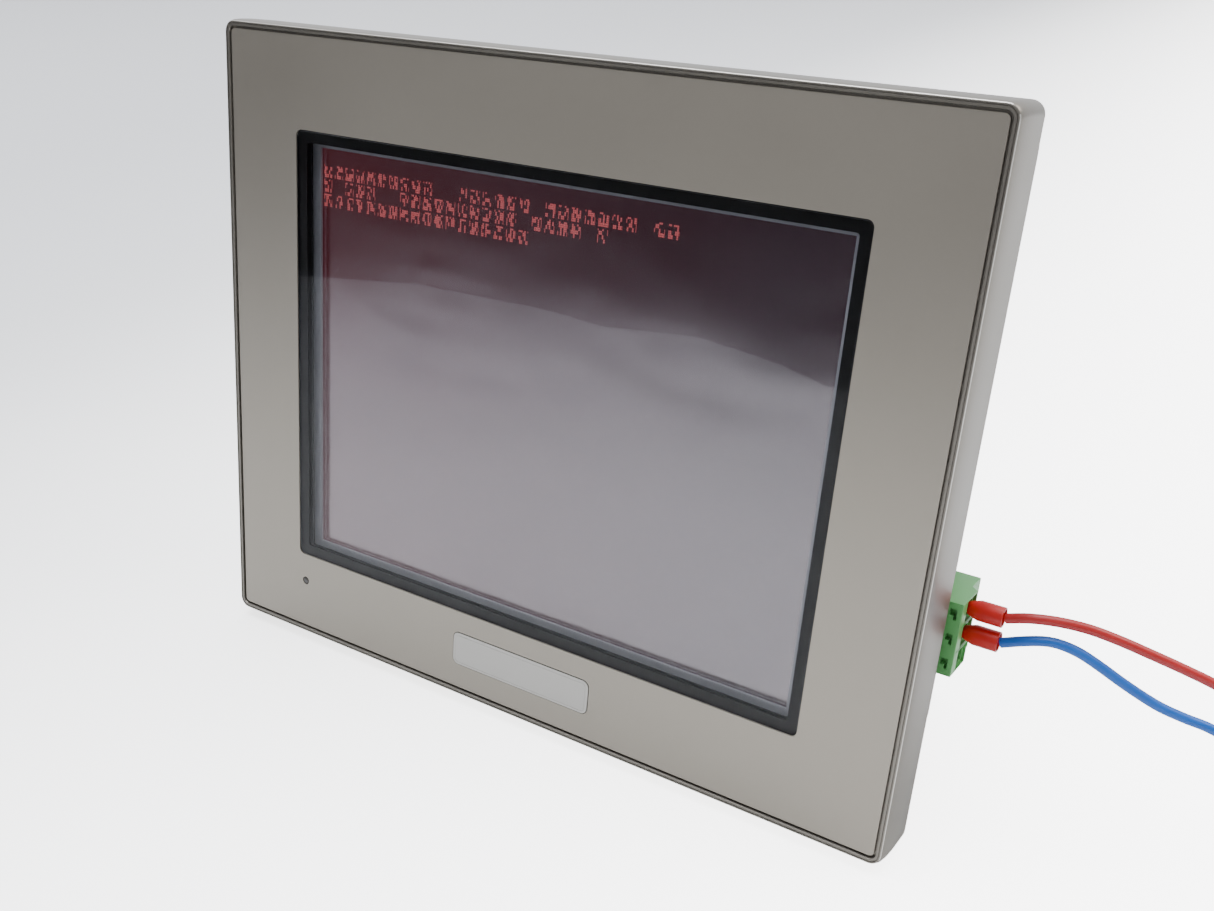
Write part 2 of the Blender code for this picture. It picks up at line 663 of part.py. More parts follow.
def make_serial_port():
    """A nine-way serial socket: metal shell, insulator with pins, and its two jack screws."""
    x, y = SERIAL_X, SOCKET_Y
    metal = ((0.62, 0.62, 0.6), 0.3, 0.95)
    top = BAY_CEILING - GAP
    ears_at = (-12.5, 12.5)
    flange_low, flange_high = (x - 15.4, y - 6.2, top - 0.8), (x + 15.4, y + 6.2, top)
    shell = block("serial_port_shell", flange_low, flange_high, metal, 1.5, "Z")
    skirt = block(
        "shell_skirt", (x - 8.6, y - 4.3, top - 6.5), (x + 8.6, y + 4.3, top - 0.4), None, 2.4, "Z"
    )
    inside = block(
        "shell_inside", (x - 8.0, y - 3.7, top - 8), (x + 8.0, y + 3.7, top + 1), None, 2.0, "Z"
    )
    ears = [((x + side, y, top - 3), (x + side, y, top + 1)) for side in ears_at]
    join(shell, skirt)
    cut(shell, inside, rods("shell_ears", ears, 1.8))
    make_serial_insert(x, y, top)
    for number, side in enumerate(ears_at, 1):
        long = [((x + side, y, top - 5.8), (x + side, y, top - 1.1))]
        nut = rods(f"jackscrew_{number}", long, 2.8, metal, sides=6)
        hole = [((x + side, y, top - 7), (x + side, y, top - 2.5))]
        cut(nut, rods(f"jack_hole_{number}", hole, 1.3, sides=12))


def make_serial_insert(x, y, top):
    """The insulator inside the serial socket's shell, with five pins and four."""
    pitch, row, pin_r = 2.77, 1.42, 0.5
    low, high = (x - 7.6, y - 3.3, top - 1.8), (x + 7.6, y + 3.3, -28)
    insert = block("serial_port_insert", low, high, BLACK_EPOXY, 1.6, "Z")
    places = [(x - 5.5 + pitch * i, y - row) for i in range(5)]
    places += [(x - 4.1 + pitch * i, y + row) for i in range(4)]
    pins = [((px, py, top - 5.6), (px, py, top - 1)) for px, py in places]
    join(insert, rods("serial_pins", pins, pin_r, sides=8))


def make_network_port():
    """The network socket, open downwards, with the step that takes the plug's latch."""
    half, face, mouth = 8.1, -44, -45
    port = block("network_port", (-half, 42.2, face), (half, 55.8, -27.5), SOCKET_METAL, 0.4, "Z")
    cut(
        port,
        block("network_hollow", (-6.0, 44.6, mouth), (6.0, 53.2, -31.5)),
        block("latch_step", (-3.2, 42.9, mouth - 0.5), (3.2, 46, -38)),
    )


def make_usb_port():
    """The USB socket, open downwards, with its tongue."""
    x, y, face, mouth = USB_X, SOCKET_Y, -44, -45
    port = block("usb_port", (x - 6.9, y - 3.2, face), (x + 6.9, y + 3.2, -30), SOCKET_METAL, 0.4, "Z")
    cut(port, block("usb_hollow", (x - 6.2, y - 2.5, mouth), (x + 6.2, y + 2.5, -33)))
    join(port, block("usb_tongue", (x - 5.4, y + 0.4, face + 1.2), (x + 5.4, y + 2.0, -32)))


def make_card_bay():
    """The bay behind the side door: its tray, the card's socket and eject button, two mode switches."""
    side = -HOUSING_W / 2
    tray_low = (side + WALL + GAP, BAY_Y[0] - TRAY_WALL, BAY_Z[0] - TRAY_WALL)
    tray_high = (BAY_FLOOR_X, BAY_Y[1] + TRAY_WALL, BAY_Z[1] + TRAY_WALL)
    tray = block("card_bay_tray", tray_low, tray_high, DARK_RESIN)
    floor_x = BAY_FLOOR_X - TRAY_WALL
    card_low, card_high = CARD_Z - CARD_W / 2, CARD_Z + CARD_W / 2
    through = (floor_x - 0.8, BAY_FLOOR_X + 1)
    card_way = ((through[0], 20.9, card_low - 0.4), (through[1], 25.4, card_high + 0.4))
    button_way = ((through[0], 21.2, 42.6), (through[1], 25.0, 48.4))
    cut(
        tray,
        block("tray_hollow", (side, BAY_Y[0], BAY_Z[0]), (floor_x, BAY_Y[1], BAY_Z[1])),
        boxes("tray_holes", [card_way, button_way]),
    )
    socket_low = (BAY_FLOOR_X + GAP, 20, card_low - 2)
    socket = block("card_socket", socket_low, (-31, 26.4, card_high + 2), CARD_METAL)
    cut(socket, block("card_slot", (-70, 21.3, card_low), (-35, 24.9, card_high)))
    block("eject_button", (-74.5, 21.6, 43), (-62, 24.6, 48), DARK_RESIN, 0.6, "X")
    make_mode_switches(floor_x)


def make_mode_switches(floor_x):
    """A switch block on the tray's floor, with two small levers that slide along grooves."""
    face_x, half_groove, half_lever = -73.5, 1.0, 0.7
    body = block("mode_switch_block", (face_x, 29, -6.8), (floor_x - GAP, 40, 1.8), RED_RESIN)
    grooves = [((-75, y - half_groove, -5.2), (-72.2, y + half_groove, 0.2)) for y in LEVER_Y]
    cut(body, boxes("lever_grooves", grooves))
    for number, y in enumerate(LEVER_Y, 1):
        low, high = (-74.5, y - half_lever, -4.9), (-72.5, y + half_lever, -2.9)
        block(f"mode_lever_{number}", low, high, WHITE_RESIN, at=(face_x, y, -3.9))


def make_card_door():
    """The door over the card bay. It swings out on a pin along its rear edge."""
    axis = (DOOR_AXIS_X, DOOR_AXIS_Y, (BAY_Z[0] + BAY_Z[1]) / 2)
    bottom, top = BAY_Z[0] + GAP, BAY_Z[1] - GAP
    door = block(
        "card_door",
        (DOOR_AXIS_X - DOOR_ROUND, BAY_Y[0] + GAP, bottom),
        (DOOR_AXIS_X + DOOR_ROUND, DOOR_AXIS_Y + DOOR_ROUND, top),
        HOUSING_RESIN,
        DOOR_ROUND * 0.98,
        "Z",
        axis,
        3,
    )
    reach = [((DOOR_AXIS_X, DOOR_AXIS_Y, bottom - 1), (DOOR_AXIS_X, DOOR_AXIS_Y, top + 1))]
    cut(
        door,
        rods("door_knuckle_hole", reach, 0.75, sides=12),
        block(
            "finger_notch", (DOOR_AXIS_X - 3, 17, 14), (DOOR_AXIS_X - 0.2, 20.4, 28), None, 0.8, "X"
        ),
    )
    pin_ends = [
        ((DOOR_AXIS_X, DOOR_AXIS_Y, BAY_Z[0] - 1.6), (DOOR_AXIS_X, DOOR_AXIS_Y, BAY_Z[1] + 1.6))
    ]
    rods("door_hinge_pin", pin_ends, 0.4, SCREW_STEEL, sides=8)


# ---------------------------------------------------------------- power connector and wires


def make_power_header():
    """The fixed half of the power connector, with its three pins."""
    half = PLUG_HALF + 0.85
    inner_half = half - HEADER_WALL
    header_low = (57.4, HEADER_FRONT, PLUG_Z - half)
    header = block("power_header", header_low, (69.4, HEADER_REAR, PLUG_Z + half), HEADER_GREEN)
    hollow_low = (60.2, HEADER_FRONT + HEADER_WALL, PLUG_Z - inner_half)
    hollow_high = (71, HEADER_REAR - HEADER_WALL, PLUG_Z + inner_half)
    cut(header, block("header_hollow", hollow_low, hollow_high))
    half_pin = 0.5
    for number, z in enumerate(pole_heights(), 1):
        low = (60.5, ENTRY_Y - half_pin, z - half_pin)
        block(f"power_pin_{number}", low, (67.5, ENTRY_Y + half_pin, z + half_pin), CONTACT_TIN)


def plug_outline():
    """The plug seen from above: its body, the chamfered step, and the tower over the screws."""
    return [
        (PLUG_INNER, PLUG_FRONT),
        (PLUG_END, PLUG_FRONT),
        (PLUG_END, 26.2),
        (TOWER_END, 27.2),
        (TOWER_END, PLUG_REAR),
        (TOWER_INNER, PLUG_REAR),
        (TOWER_INNER, 27.4),
        (PLUG_INNER, 26.6),
    ]


def around_entry(name, heights, from_x, to_x, half_y, half_z):
    """One square hole along X at each pole, as one cutter."""
    return boxes(
        name,
        [
            ((from_x, ENTRY_Y - half_y, z - half_z), (to_x, ENTRY_Y + half_y, z + half_z))
            for z in heights
        ],
    )


def make_power_plug():
    """The pull-out terminal plug: contact nose, wire entries, and one clamp screw for each pole."""
    low, high = PLUG_Z - PLUG_HALF, PLUG_Z + PLUG_HALF
    plug = prism("power_plug", plug_outline(), low, high, PLUG_GREEN)
    nose_front = HEADER_FRONT + HEADER_WALL + PLUG_TRAVEL_ROOM
    nose_back = HEADER_REAR - HEADER_WALL - PLUG_TRAVEL_ROOM
    join(plug, block("plug_nose", (60.5, nose_front, low + 0.45), (70.5, nose_back, high - 0.45)))
    heights = pole_heights()
    test_front, test_back = PLUG_FRONT - 1, PLUG_FRONT + 1.2
    cut(
        plug,
        around_entry("pin_holes", heights, 59, 69, 1.1, 1.1),
        around_entry("wire_entries", heights, 81, PLUG_END + 1, 2.3, 1.9),
        around_entry("barrel_holes", heights, 74, 82, 1.2, 1.2),
        boxes("test_windows", [((84.7, test_front, z - 1), (85.8, test_back, z + 1)) for z in heights]),
        rods("clamp_holes", [((CLAMP_X, 28, z), (CLAMP_X, 34, z)) for z in heights], 2.0),
        rods("shaft_holes", [((CLAMP_X, 23.4, z), (CLAMP_X, 29, z)) for z in heights], 1.35, sides=12),
    )
    for number, z in enumerate(heights, 1):
        make_clamp_screw(number, z)


def make_clamp_screw(number, z):
    """A slotted screw that turns in place and clamps one wire."""
    head_r, shaft_r, head_h, length, slot_depth, half_slot = 1.65, 1.0, 1.6, 6.2, 0.8, 0.25
    profile = [
        (0, 0),
        (head_r - 0.25, 0),
        (head_r, -0.25),
        (head_r, -head_h),
        (shaft_r, -head_h),
        (shaft_r, -length),
        (0, -length),
    ]
    screw = turned(f"clamp_screw_{number}", profile, SCREW_STEEL, (CLAMP_X, CLAMP_TOP, z), (0, 1, 0))
    low = (CLAMP_X - 2.2, CLAMP_TOP - slot_depth, z - half_slot)
    high = (CLAMP_X + 2.2, CLAMP_TOP + 1, z + half_slot)
    cut(screw, block(f"clamp_slot_{number}", low, high))


def ferrule_profile():
    """A crimp ferrule: the collar's wire end at height 0, its cone, then the bare barrel."""
    return [
        (0, 0),
        (COLLAR_R, 0),
        (COLLAR_R, COLLAR_START - COLLAR_END),
        (COLLAR_TIP_R, CONE_START - COLLAR_END),
        (BARREL_R, CONE_START - COLLAR_END),
        (BARREL_R, BARREL_START - COLLAR_END),
        (0, BARREL_START - COLLAR_END),
    ]


def to_world(x, y, z):
    """A point of the panel frame, in the world's millimetres."""
    place = Matrix.Translation((0, -MIDDLE_Y, LIFT)) @ Matrix.Rotation(-LEAN, 4, "X")
    return place @ Vector((x, y, z))


def smooth_line(route, step):
    """Points a step apart along a smooth curve through the route's own points."""
    points = np.array([route[0], *route, route[-1]], float)
    points[0] = 2 * points[1] - points[2]
    points[-1] = 2 * points[-2] - points[-3]
    fine = []
    for a, b, c, d in zip(points, points[1:], points[2:], points[3:]):
        for t in np.linspace(0, 1, 24, endpoint=False):
            bend = 2 * a - 5 * b + 4 * c - d
            fine.append(b + ((c - a) * t + bend * t**2 + (3 * b - 3 * c + d - a) * t**3) / 2)
    fine = np.array([*fine, points[-2]])
    along = np.r_[0, np.cumsum(np.linalg.norm(np.diff(fine, axis=0), axis=1))]
    wanted = np.linspace(0, along[-1], round(along[-1] / step) + 1)
    return np.stack([np.interp(wanted, along, fine[:, k]) for k in range(3)], axis=1)


def wire_routes():
    """Each wire from its ferrule down to the table, with the last point at its coil, in world space."""
    red_exit = to_world(COLLAR_END + GAP, ENTRY_Y, pole_heights()[0])
    blue_exit = to_world(COLLAR_END + GAP, ENTRY_Y, pole_heights()[1])
    red = [
        red_exit,
        (97.9, -9.7, 45.9),
        (102.9, -8.4, 46.1),
        (108.0, -6.8, 45.4),
        (113.2, -4.9, 43.7),
        (118.5, -2.7, 41.4),
        (123.9, -0.2, 38.8),
        (129.8, 2.6, 35.7),
        (138.5, 7.0, 30.3),
        (148.0, 12.0, 23.4),
        (157.5, 17.0, 15.6),
        (167.0, 21.3, 8.0),
        (177.0, 24.6, 2.8),
        (187.3, 26.0, 1.2),
    ]
    blue = [
        blue_exit,
        (97.8, -10.7, 41.4),
        (101.2, -10.0, 42.2),
        (104.0, -9.4, 42.1),
        (107.4, -8.6, 41.0),
        (111.2, -7.6, 38.8),
        (114.9, -6.5, 36.3),
        (118.7, -5.2, 33.8),
        (122.5, -4.0, 31.7),
        (126.8, -2.4, 29.9),
        (131.8, -0.8, 28.2),
        (140.0, 0.6, 24.4),
        (150.0, 0.4, 18.3),
        (160.0, -1.4, 11.6),
        (169.5, -3.6, 5.8),
        (178.5, -5.3, 2.3),
        (187.3, -6.0, 1.2),
    ]
    return {"red": red, "blue": blue}


def make_wires():
    """Two free wires, each with a ferrule at both ends and its spare length in a coil."""
    step = 4.5
    end_x = COIL_X - 9.3
    for (name, route), z in zip(wire_routes().items(), pole_heights()):
        look = WIRE_LOOKS[name]
        exit_point = (COLLAR_END, ENTRY_Y, z)
        turned(f"{name}_ferrule", ferrule_profile(), FERRULE_RED, exit_point, (1, 0, 0))
        make_tube(f"{name}_wire", smooth_line(route, step), look)
        make_coil(f"{name}_wire_coil", COIL_Y[name], look)
        tip = (end_x, COIL_Y[name] - TIP_TURN, COLLAR_R)
        turned(f"{name}_end_ferrule", ferrule_profile(), FERRULE_RED, tip, (1, 0, 0), parent=None)


def make_tube(name, points, look):
    curve = bpy.data.curves.new(name, "CURVE")
    curve.dimensions = "3D"
    curve.bevel_depth = WIRE_R * MM
    curve.bevel_resolution = 2
    curve.use_fill_caps = True
    spline = curve.splines.new("POLY")
    spline.points.add(len(points) - 1)
    for point, place in zip(spline.points, points):
        point.co = (*(place * MM), 1)
    return add_object(name, curve, look, parent=None)


def make_coil(name, y, look):
    """The outer shape of a coil lying on the table, as a turned ring."""
    edge = 0.8
    profile = [
        (COIL_IN + edge, COIL_H),
        (COIL_OUT - edge, COIL_H),
        (COIL_OUT, COIL_H - edge),
        (COIL_OUT, edge),
        (COIL_OUT - edge, 0),
        (COIL_IN + edge, 0),
        (COIL_IN, edge),
        (COIL_IN, COIL_H - edge),
        (COIL_IN + edge, COIL_H),
    ]
    coil = turned(name, profile, look, (COIL_X, y, 0), (0, 0, 1), 32, parent=None)
    weld = coil.modifiers.new("close_section", "WELD")
    weld.merge_threshold = 0.00001


make_bezel()
make_front_sheet()
make_display()
make_gasket()
make_housing()
make_case_screws()
make_rating_plate()
make_boards()
make_serial_port()
make_network_port()
make_usb_port()
make_card_bay()
make_card_door()
make_power_header()
make_power_plug()
make_wires()
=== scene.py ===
# %% [markdown]
# # An operator touch panel, with its finishes, wires and light
# The solids of the panel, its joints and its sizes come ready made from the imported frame.
# This lesson gives them their looks: a camera and soft light, two loose supply wires, finer
# meshes for what the eye lands on, and a material for every surface.

import json
import math

import bmesh
import bpy
import numpy as np
from mathutils import Matrix, Vector

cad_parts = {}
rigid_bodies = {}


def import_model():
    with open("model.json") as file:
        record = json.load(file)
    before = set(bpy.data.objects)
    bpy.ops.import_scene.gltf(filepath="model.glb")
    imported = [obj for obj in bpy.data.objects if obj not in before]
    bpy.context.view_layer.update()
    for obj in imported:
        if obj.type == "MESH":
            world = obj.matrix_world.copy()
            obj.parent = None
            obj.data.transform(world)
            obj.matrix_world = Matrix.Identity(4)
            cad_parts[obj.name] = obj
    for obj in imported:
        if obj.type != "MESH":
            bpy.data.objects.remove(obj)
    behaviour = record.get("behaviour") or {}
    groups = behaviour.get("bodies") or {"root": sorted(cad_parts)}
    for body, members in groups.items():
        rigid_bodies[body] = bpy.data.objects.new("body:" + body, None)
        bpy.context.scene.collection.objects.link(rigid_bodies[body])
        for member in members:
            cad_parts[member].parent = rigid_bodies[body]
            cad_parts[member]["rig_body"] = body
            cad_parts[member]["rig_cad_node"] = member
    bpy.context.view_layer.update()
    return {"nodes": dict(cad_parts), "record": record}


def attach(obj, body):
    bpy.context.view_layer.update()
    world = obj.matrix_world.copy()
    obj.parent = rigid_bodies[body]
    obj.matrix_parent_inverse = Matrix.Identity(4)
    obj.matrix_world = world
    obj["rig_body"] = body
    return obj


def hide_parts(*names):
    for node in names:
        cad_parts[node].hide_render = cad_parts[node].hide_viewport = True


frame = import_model()
MM = 0.001

# %% [markdown]
# The unit leans back on its housing, so its pieces are modelled upright in the panel's own frame:
# X to the right, Y back from the front sheet, Z up, in millimetres from the sheet's centre.
# The mount on the bezel's flange says how that frame lies in the world, because its axis is the
# panel's Y axis and its point is known in both frames.

# %% The panel's own frame
SEAT = next(m for m in frame["record"]["mounts"] if m["name"] == "panel_seat")
SEAT_POINT = Vector((82.8, 13.5, 20.0)) * MM
LEAN = math.atan2(-SEAT["axis"][2], SEAT["axis"][1])
TILT = Matrix.Rotation(-LEAN, 4, "X")
PANEL = Matrix.Translation(Vector(SEAT["pos_m"]) - TILT @ SEAT_POINT) @ TILT
print("the unit leans back by", round(math.degrees(LEAN), 2), "degrees")

# %% [markdown]
# ## Camera
# The camera stands to the right of the panel and close to it, so the panel's edges converge as
# they do to the eye of a person who leans over a bench. It looks down by 29 degrees. A small
# shift of the lens frames the panel without turning the camera, which would bend that perspective.

# %% Camera
AZIMUTH, ELEVATION = math.radians(31.88), math.radians(29.0)
EYE = Vector((0.1363, -0.2097, 0.1743))
LENS, SHIFT_X, SHIFT_Y = 36.83, -0.0222, 0.0442


def add_camera():
    bpy.ops.object.camera_add(location=EYE)
    camera = bpy.context.object
    camera.rotation_euler = (math.pi / 2 - ELEVATION, 0, AZIMUTH)
    camera.data.lens = LENS
    camera.data.shift_x, camera.data.shift_y = SHIFT_X, SHIFT_Y
    camera.data.clip_start = 0.01
    bpy.context.scene.camera = camera


bpy.ops.object.select_all(action="DESELECT")
add_camera()
print("camera", round(EYE.length, 3), "m from the middle of the unit's foot")

# %% [markdown]
# ## Materials
# A colour is written as the sRGB value that a person would pick, and one function turns it to
# the linear light that the renderer wants. Typing linear numbers by hand would work too, but
# nobody can read them. One more function adds a node with its settings and links, and where an
# input is a node, it takes that node's first output. Every finish is then a few lines.

# %% Two helpers for materials


def hexed(text):
    """An sRGB hex colour as linear light."""
    parts = [int(text[i : i + 2], 16) / 255 for i in (0, 2, 4)]
    return (*(c / 12.92 if c <= 0.04045 else ((c + 0.055) / 1.055) ** 2.4 for c in parts), 1.0)


def node(tree, kind, inputs=None, **settings):
    """Adds a node. Its inputs are values, sockets, or nodes, by name or by place."""
    made = tree.nodes.new("ShaderNode" + kind)
    for name, value in settings.items():
        setattr(made, name, value)
    for key, value in (inputs or {}).items():
        if isinstance(value, bpy.types.Node):
            value = value.outputs[0]
        if isinstance(value, bpy.types.NodeSocket):
            tree.links.new(value, made.inputs[key])
        else:
            made.inputs[key].default_value = value
    return made


def new_material(name):
    made = bpy.data.materials.new(name)
    made.use_nodes = True
    made.node_tree.nodes.clear()
    return made, made.node_tree


# %% [markdown]
# Most surfaces here are a base with three kinds of unevenness: a slow drift of tone, a change
# of gloss, and a fine grain that is felt as bump. Each could be a node tree of its own, but the
# trees would be alike. The sizes are real ones in millimetres, so a spark-eroded housing and a
# die-cast frame differ only in their numbers. What is the same all over a surface, such as how
# metallic it is, is set on the shader itself.

# %% A surface with drift and grain


def surface(name, tones, drift, gloss, grain, depth, **shader):
    """tones: dark and light hex. drift, grain, depth: in mm. gloss: the range of roughness."""
    made, tree = new_material(name)
    place = node(tree, "TexCoord").outputs["Object"]
    slow = node(tree, "TexNoise", {"Vector": place, "Scale": 1 / (drift * MM), "Detail": 3.0})
    fine = node(tree, "TexNoise", {"Vector": place, "Scale": 1 / (grain * MM), "Detail": 2.0})
    tone = node(
        tree,
        "Mix",
        {0: slow.outputs["Fac"], 6: hexed(tones[0]), 7: hexed(tones[1])},
        data_type="RGBA",
    )
    rough = node(
        tree,
        "MapRange",
        {
            "Value": slow.outputs["Fac"],
            "From Min": 0.3,
            "From Max": 0.7,
            "To Min": gloss[0],
            "To Max": gloss[1],
        },
    )
    bump = node(tree, "Bump", {"Height": fine, "Distance": depth * MM, "Strength": 1.0})
    bsdf = node(
        tree,
        "BsdfPrincipled",
        {
            "Base Color": tone.outputs[2],
            "Roughness": rough.outputs["Result"],
            "Normal": bump.outputs["Normal"],
            **shader,
        },
    )
    node(tree, "OutputMaterial", {"Surface": bsdf.outputs["BSDF"]})
    return made


# %% [markdown]
# The finishes, each named for the real material and how its surface was made. A grain finer than
# about 0.3 mm wouldn't show at this distance, so the finest ones are drawn that coarse. Metals
# differ in tone and gloss. A lacquered or anodised one is given a metallic value below 1, because
# its clear coat scatters some light before it reaches the metal.

# %% Metals and coatings
# Die-cast aluminium under a silver-grey lacquer with a fine blasted grain: soft metallic sheen.
blasted_coat = surface(
    "silver_lacquered_die_casting", ("7f7a72", "8c877e"), 30, (0.32, 0.42), 0.3, 0.03, Metallic=0.8
)
# Polyester film back-printed in silver-grey ink, matt: a slow sheen with almost no grain.
printed_film = surface(
    "matt_polyester_silver_print",
    ("a19a8e", "a7a094"),
    60,
    (0.33, 0.37),
    0.12,
    0.0015,
    Metallic=0.7,
)
# Anodised aluminium with a satin brush and clear lacquer.
satin_plate = surface(
    "satin_anodised_aluminium", ("b9b6b0", "c2bfb9"), 8, (0.30, 0.38), 0.1, 0.002, Metallic=0.7
)
# Steel stamping with nickel plate: even and cold, a little cloudy.
nickel_steel = surface(
    "nickel_plated_stamping", ("8d9096", "9a9da3"), 12, (0.24, 0.34), 0.3, 0.002, Metallic=0.9
)
# The display's frame has the same plate on rolled sheet, left dull, so it scatters more.
dull_nickel = surface(
    "dull_nickel_on_rolled_sheet", ("a3a6ae", "afb2ba"), 12, (0.42, 0.5), 0.3, 0.002, Metallic=0.35
)
# Zinc-plated steel, passivated: bluish with faint clouds.
zinc_steel = surface(
    "zinc_plated_steel", ("a9a9a4", "c2c2bb"), 3, (0.22, 0.36), 0.25, 0.004, Metallic=0.95
)
# Tin-plated brass and copper: pale and fairly bright.
tin_plate = surface(
    "tin_plated_copper", ("b9b6ad", "c9c6bd"), 2, (0.2, 0.32), 0.2, 0.003, Metallic=1.0
)

# %% Plastics, rubber and film
# Black screen print on the back of a clear sheet: near black with a soft gloss.
black_print = surface(
    "black_screen_print",
    ("070708", "0c0c0e"),
    15,
    (0.3, 0.38),
    0.3,
    0.001,
    **{"Specular IOR Level": 0.25},
)
# ABS moulding with a spark-eroded texture.
eroded_abs = surface("spark_eroded_abs", ("26272a", "2d2e31"), 25, (0.5, 0.62), 0.45, 0.03)
# EPDM rubber seal, moulded, slightly dusty.
epdm_rubber = surface("moulded_epdm", ("17171a", "212124"), 6, (0.62, 0.78), 0.5, 0.02)
# Closed-cell foam tape.
foam_tape = surface("closed_cell_foam", ("18181b", "222226"), 2, (0.85, 0.95), 0.35, 0.08)
# Metallised polyester label, blank.
label_film = surface(
    "blank_label_film", ("c4c4c0", "cecfca"), 20, (0.3, 0.36), 0.3, 0.002, Metallic=0.4
)
# Polyamide 6.6 moulding in terminal green: glossy enough to show its edges.
terminal_nylon = surface("green_polyamide", ("5aa55a", "66b065"), 6, (0.3, 0.4), 0.3, 0.006)
# The fixed header, a darker green polyamide.
header_nylon = surface("dark_green_polyamide", ("2c6a33", "34753b"), 6, (0.36, 0.46), 0.3, 0.006)
# Polypropylene collar of a crimp ferrule, strong red with a soft gloss.
ferrule_pp = surface("red_polypropylene", ("c01611", "cf221b"), 4, (0.3, 0.38), 0.25, 0.004)
# PVC wire insulation.
red_pvc = surface("red_pvc_insulation", ("a81c1c", "b92827"), 9, (0.34, 0.46), 0.3, 0.004)
blue_pvc = surface("blue_pvc_insulation", ("0c59b2", "1466c4"), 9, (0.34, 0.46), 0.3, 0.004)
# FR4 laminate under green solder mask.
solder_mask = surface("fr4_green_solder_mask", ("0f5230", "17623b"), 5, (0.3, 0.42), 0.6, 0.008)
# Moulded epoxy of chips and insulators.
black_epoxy = surface("black_moulded_epoxy", ("1b1b1d", "242427"), 4, (0.5, 0.62), 0.2, 0.01)
# Polyester tape round the transformer.
yellow_tape = surface("yellow_polyester_tape", ("c89a32", "d8ac44"), 5, (0.3, 0.4), 0.5, 0.01)
# Shrunk PVC sleeve of the capacitor.
blue_sleeve = surface("blue_shrunk_sleeve", ("1d2547", "273057"), 6, (0.22, 0.32), 0.5, 0.006)
# Red and white switch mouldings.
red_moulding = surface("red_moulded_pbt", ("96201b", "a52a24"), 4, (0.36, 0.46), 0.3, 0.01)
white_moulding = surface("white_moulded_pom", ("d9d9d2", "e4e4dd"), 4, (0.3, 0.4), 0.3, 0.004)
# Milky diffuser film and the phosphor-coated lamp behind it.
milky_film = surface("milky_diffuser_film", ("dadad6", "e6e6e2"), 20, (0.5, 0.6), 0.3, 0.003)
lamp_phosphor = surface("phosphor_coated_glass", ("dcd8cc", "e8e4d8"), 10, (0.2, 0.28), 0.4, 0.002)

# %% [markdown]
# Clear sheets are glass to the camera, but a lamp's shadow ray goes straight through them.
# That is what the mix with a transparent shader does, and it keeps what lies behind them lit.
# Traced caustics would do the same in a real glass, but slowly and with specks.

# %% Clear sheets


def clear_sheet(name, tint, roughness, ior, wave, wave_height):
    """Glass or film whose faint waviness is wave mm long and wave_height mm high."""
    made, tree = new_material(name)
    place = node(tree, "TexCoord").outputs["Object"]
    waves = node(tree, "TexNoise", {"Vector": place, "Scale": 1 / (wave * MM), "Detail": 1.0})
    bump = node(
        tree, "Bump", {"Height": waves, "Distance": wave_height * MM, "Strength": 1.0}
    )
    glass = node(
        tree,
        "BsdfPrincipled",
        {
            "Base Color": hexed(tint),
            "Roughness": roughness,
            "IOR": ior,
            "Transmission Weight": 1.0,
            "Normal": bump.outputs["Normal"],
        },
    )
    clear = node(tree, "BsdfTransparent", {"Color": hexed(tint)})
    ray = node(tree, "LightPath")
    both = node(
        tree,
        "MixShader",
        {0: ray.outputs["Is Shadow Ray"], 1: glass.outputs["BSDF"], 2: clear.outputs["BSDF"]},
    )
    node(tree, "OutputMaterial", {"Surface": both.outputs["Shader"]})
    return made


# Hard-coated polyester window and the soda-lime touch glass behind it. Both are coated against
# reflection, and a low IOR is how little such a surface mirrors.
window_film = clear_sheet("hard_coated_clear_polyester", "f6f5f5", 0.02, 1.2, 40, 0.01)
touch_glass = clear_sheet("soda_lime_touch_glass", "f4f4f4", 0.0, 1.3, 60, 0.01)
acrylic = clear_sheet("cast_acrylic", "f2f6f6", 0.02, 1.49, 60, 0.005)

# %% [markdown]
# The display is a transflective cell: behind its liquid crystal lies a film that mirrors part of
# the room, softly, and lets the red backlight through. So it is a metal with a slow wave in its
# bump, and its glow is emission. The start-up screen could be modelled dot by dot, but 76,800 dots
# are too many faces, so it is drawn by arithmetic on the dots: three rows of cells eight dots wide
# and high, each with a mosaic of blocks that spells nothing. The Mapping node of type TEXTURE
# undoes the panel's lean, so that X and Z run along the display's own sides.

# %% The display cell
VIEW_W, VIEW_H, DOTS_WIDE = 121.5, 90.0, 320
DOT = VIEW_W / DOTS_WIDE
CELL_DOTS = 8
LONGEST_ROW, FEWER_EACH_ROW, MIDDLE_ROW = 34.5, 5.5, 2.0  # rows 1 to 3 hold 29, 24 and 18 cells
EMPTY_CELLS, DOT_GAP = 0.16, 0.14  # shares of the cells, and of a dot's width


